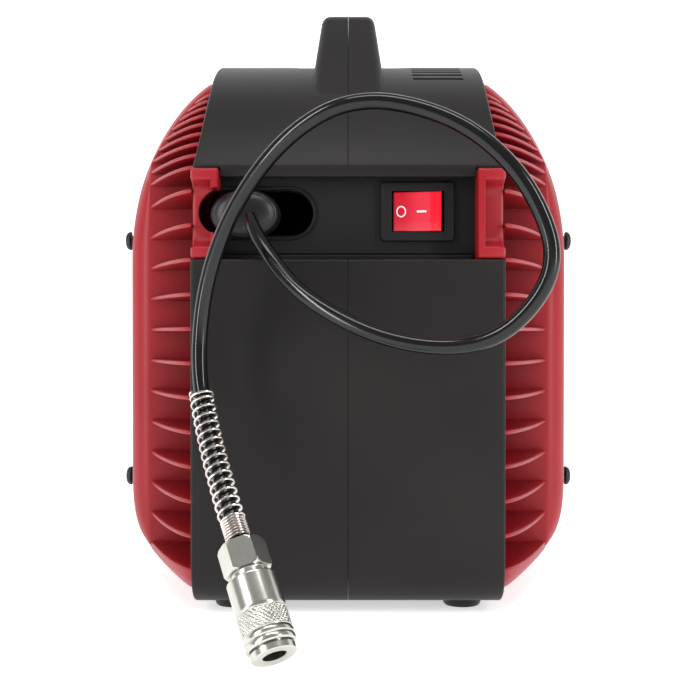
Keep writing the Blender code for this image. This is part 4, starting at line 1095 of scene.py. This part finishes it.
# %% [markdown]
# Small turned and moulded parts follow: rubber bumpers and feet, the well under the grip, and on the
# rear face the pressure gauge, the regulator's knob and the inlet for the mains lead. Each is a
# profile of distance and radius turned about an axis, with the radius modulated where it is fluted.

# %% Turned parts


def turned(name, centre, axis, profile, steps=48, flutes=0, depth=0.0, fluted=(0, 0)):
    """Row i is at profile[i][0] along axis, at radius profile[i][1] less |sin|-shaped flutes in between
    the two distances named in fluted."""
    axis = np.array(axis, float)
    side = np.cross(axis, (0, 0, 1.0) if abs(axis[2]) < 0.5 else (1.0, 0, 0))
    side /= np.linalg.norm(side)
    up = np.cross(axis, side)
    h, r = np.array(profile, float).T
    a = np.linspace(0, 2 * np.pi, steps, endpoint=False)
    wave = depth * (1 - np.abs(np.sin(a * flutes / 2))) if flutes else np.zeros(steps)
    inside = ((h >= fluted[0]) & (h <= fluted[1])).astype(float)
    radius = np.maximum(r[:, None] - inside[:, None] * wave[None], 1e-6)
    ring = side * np.cos(a)[:, None] + up * np.sin(a)[:, None]
    grid = np.array(centre, float) + h[:, None, None] * axis + radius[..., None] * ring
    return surface(name, grid, wrap_columns=True)


for node in [n for n in nodes if n.startswith("bumper_")]:
    low, high = box(node)
    outward = 1.0 if low[0] > 0 else -1.0
    tip = high[0] if outward > 0 else low[0]
    centre = (tip, (low[1] + high[1]) / 2, (low[2] + high[2]) / 2)
    dome = np.linspace(0, np.pi / 2, 8)
    profile = [(-0.009, 0.0), (-0.009, 0.003), (-0.003, 0.003), (-0.003, 0.0055)]
    profile += [(-0.0026 * (1 - math.sin(t)), 0.0022 + 0.0033 * math.cos(t)) for t in dome]
    profile += [(0, 0.0)]
    placed(turned(f"{node}_skin", centre, (outward, 0, 0), profile, 32), "casing", node, rubber)

for node in [n for n in nodes if n.startswith("foot_")]:
    low, high = box(node)
    centre = (*((low + high) / 2)[:2], low[2])
    height, radius = float(high[2] - low[2]), float(high[0] - low[0]) / 2
    profile = [(0, 0), (0, radius * 0.5), (0.0006, radius * 0.55), (0.0006, radius * 0.72), (0, radius * 0.78)]
    profile += [(0, radius - 0.0022), (0.0007, radius - 0.0014), (height * 0.95, radius - 0.0001)]
    profile += [(height, radius - 0.0002), (height, 0)]
    placed(turned(f"{node}_skin", centre, (0, 0, 1), profile), "casing", node, rubber)


def hand_well_skin():
    """The well's rim follows the cover; from it the walls go down, round a corner, to a flat floor."""
    (x0, y0, z0), (x1, y1, _) = well_low, well_high
    corners = [(x0, y0), (x1, y0), (x1, y1), (x0, y1)]
    rows = []
    floor, wall, bend = 0.268, 0.003, 0.008
    steps = [(0, None, z0), (0, "rim", 0.0), (0.0004, "rim", 0.0004)]
    steps += [(wall - 0.0006, "rim", 0.0004), (wall, "rim", -0.0004)]
    for t in np.linspace(0, np.pi / 2, 8):
        steps.append((wall + bend * (1 - math.cos(t)), None, floor + bend * (1 - math.sin(t))))
    for inset, kind, z in steps:
        outline = filleted(corners, [0.0045] * 4, inset, 8)
        height = cover_z(outline[:, 1]) + z - 0.0004 if kind else np.full(len(outline), z)
        rows.append(np.column_stack([outline, height]))
    return ring_surface("hand_well_skin", rows, caps=True)


placed(hand_well_skin(), "casing", "hand_well", black_plastic)
print("rubber and hand well made")

# %% [markdown]
# The rear face has a plain panel with a shallow groove round it, drawn as rounded rectangles at a few
# insets. The gauge's case, the knob and the inlet are turned profiles on it. The knob has thirty
# flutes for grip, and the inlet has ribs that let the lead bend.

# %% Rear face
rear_low, rear_high = box("rear_panel")
rear_y = float(rear_high[1])
corners = [(-PANEL_X, rear_low[2]), (PANEL_X, rear_low[2]), (PANEL_X, rear_high[2]), (-PANEL_X, rear_high[2])]
rows = []
for inset, y in ((0, rear_low[1]), (0, rear_y - 0.0004), (0.0001, rear_y - 0.0001), (0.0004, rear_y)):
    rows.append(np.insert(filleted(corners, [0.0006] * 4, inset, 6), 1, y, axis=1))
for inset, y in ((0.0030, rear_y), (0.0034, rear_y - 0.0006), (0.0042, rear_y - 0.0006), (0.0046, rear_y)):
    rows.append(np.insert(filleted(corners, [0.0012] * 4, inset, 6), 1, y, axis=1))
placed(ring_surface("rear_facia", rows, caps=True), "casing", "rear_panel", inner_black)

gauge_low, gauge_high = box("gauge_case")
gauge_centre = ((gauge_low[0] + gauge_high[0]) / 2, float(gauge_low[1]), (gauge_low[2] + gauge_high[2]) / 2)
R, T = 0.0185, float(gauge_high[1] - gauge_low[1])  # the turned part's radius and thickness
profile = [(0, 0), (0, R - 0.0008), (0.0008, R), (0.0040, R), (0.0046, R - 0.0006)]
profile += [(0.0056, R - 0.0006), (0.0062, R), (T - 0.0014, R), (T - 0.0004, R - 0.0005)]
profile += [(T, R - 0.0015), (T - 0.0002, R - 0.0024), (T - 0.0009, R - 0.0027), (T - 0.0012, R - 0.0027)]
profile += [(T - 0.0012, R - 0.0017), (0.003, R - 0.0017), (0.003, 0.0012), (0.0068, 0.0012), (0.0068, 0)]
placed(turned("gauge_bezel", gauge_centre, (0, 1, 0), profile, 96), "casing", "gauge_case", nickel)

knob_low, knob_high = box("regulator_knob")
knob_centre = ((knob_low[0] + knob_high[0]) / 2, float(knob_low[1]), (knob_low[2] + knob_high[2]) / 2)
R, T = 0.0165, float(knob_high[1] - knob_low[1])
profile = [(0, 0), (0, R - 0.003), (0.003, R - 0.003), (0.0032, R - 0.0004), (0.0038, R)]
profile += [(0.0060, R), (0.0100, R - 0.0003), (T - 0.0022, R - 0.0007)]
profile += [(T - 0.0012, R - 0.0011), (T - 0.0004, R - 0.0021), (T, R - 0.0036)]
profile += [(T, R - 0.0062), (T - 0.0010, R - 0.0072), (T - 0.0010, 0)]
fluted = (0.0037, T - 0.0021)
knob = turned("knob_skin", knob_centre, (0, 1, 0), profile, 180, flutes=30, depth=0.0007, fluted=fluted)
placed(knob, "knob", "regulator_knob", black_plastic)

gland_low, gland_high = box("mains_lead_gland")
gland_centre = ((gland_low[0] + gland_high[0]) / 2, float(gland_low[1]), (gland_low[2] + gland_high[2]) / 2)
profile = [(0, 0.0036), (0, 0.0073), (0.0004, 0.0075), (0.0030, 0.0073), (0.0038, 0.0068)]
for i in range(5):
    h, r = 0.0044 + 0.0018 * i, 0.0066 - 0.0002 * i
    profile += [(h, r), (h + 0.0003, r - 0.0012), (h + 0.0008, r - 0.0012), (h + 0.0011, r - 0.0001)]
profile += [(0.0137, 0.0053), (0.0139, 0.0050), (0.0139, 0.0038), (0.0136, 0.0036), (0, 0.0036)]
gland = turned("lead_gland", gland_centre, (0, 1, 0), profile, 40)
placed(gland, "casing", "mains_lead_gland", rubber)
print("rear face made")

# %% [markdown]
# Every solid that has the right shape already stays as it is: the motor, the pump, the chassis and
# what turns inside them. They are out of sight unless the casing is opened, but each still gets the
# metal or rubber that it would be made of, chosen by its slot in the record.

# %% Finishes for the solids that stay
FINISH_OF_SLOT = {
    "black_plastic": black_plastic, "red_plastic": red_plastic, "rubber": rubber,
    "hose_rubber": hose_material,
    "nickel": nickel, "spring_steel": wire, "steel": steel, "aluminium": aluminium, "copper": copper,
    "switch_red": rocker_material, "dial_white": dial_material, "clear_lens": lens_material,
}

for name, obj in nodes.items():
    slot = obj.data.materials[0].name.split(".")[0]
    obj.data.materials.clear()
    obj.data.materials.append(FINISH_OF_SLOT[slot])
    obj.data.shade_smooth()
    obj.data.set_sharp_from_angle(angle=math.radians(30))
print("finished", len(nodes), "solids")

# %% [markdown]
# The studio is a pale sweep and a pale world. Two tall soft boxes stand at the sides and one hangs
# above: a glossy hose shows each as a long streak. The floor is so bright that it nearly meets the
# background. The world alone fills the shadows.

# %% Floor, world and lights


def floor_material():
    glow = {"Emission_Strength": 0.55, "Emission_Color": (1, 1, 1, 1)}
    s = Shader("pale_floor", Roughness=0.7, Specular_IOR_Level=0.2, **glow)
    tone = s.mix(s.noise(3.0, 2.0), (0.93, 0.93, 0.93, 1), (0.96, 0.96, 0.96, 1))
    return s.feed(Base_Color=tone)


def sweep():
    """A floor whose back curves up through a quarter ellipse into a wall: a profile carried along X."""
    t = np.linspace(0, np.pi / 2, 16)
    y = np.concatenate([[-30.0], 1.4 + 0.8 * np.sin(t), [2.2]])
    z = np.concatenate([[0.0], 0.8 * (1 - np.cos(t)), [3.5]])
    x = np.array([-30.0, 30.0])
    grid = np.stack([np.column_stack([np.full(len(y), u), y, z]) for u in x])
    return surface("pale_sweep", grid)


studio = sweep()
studio.data.materials.append(floor_material())

world = bpy.data.worlds.new("studio")
world.use_nodes = True
world.node_tree.nodes["Background"].inputs["Color"].default_value = (1, 1, 1, 1)
world.node_tree.nodes["Background"].inputs["Strength"].default_value = 0.38
bpy.context.scene.world = world


def soft_box(name, place, target, width, height, power):
    data = bpy.data.lights.new(name, "AREA")
    data.shape, data.size, data.size_y, data.energy = "RECTANGLE", width, height, power
    light = bpy.data.objects.new(name, data)
    light.location = place
    light.rotation_euler = (Vector(target) - Vector(place)).to_track_quat("-Z", "Y").to_euler()
    bpy.context.scene.collection.objects.link(light)


soft_box("left_box", (-1.3, -1.1, 0.6), (0, 0, 0.15), 0.22, 1.6, 20)
soft_box("right_box", (1.3, -1.1, 0.6), (0, 0, 0.15), 0.22, 1.6, 20)
soft_box("top_box", (0, -0.6, 1.7), (0, 0, 0.15), 1.4, 0.4, 13)
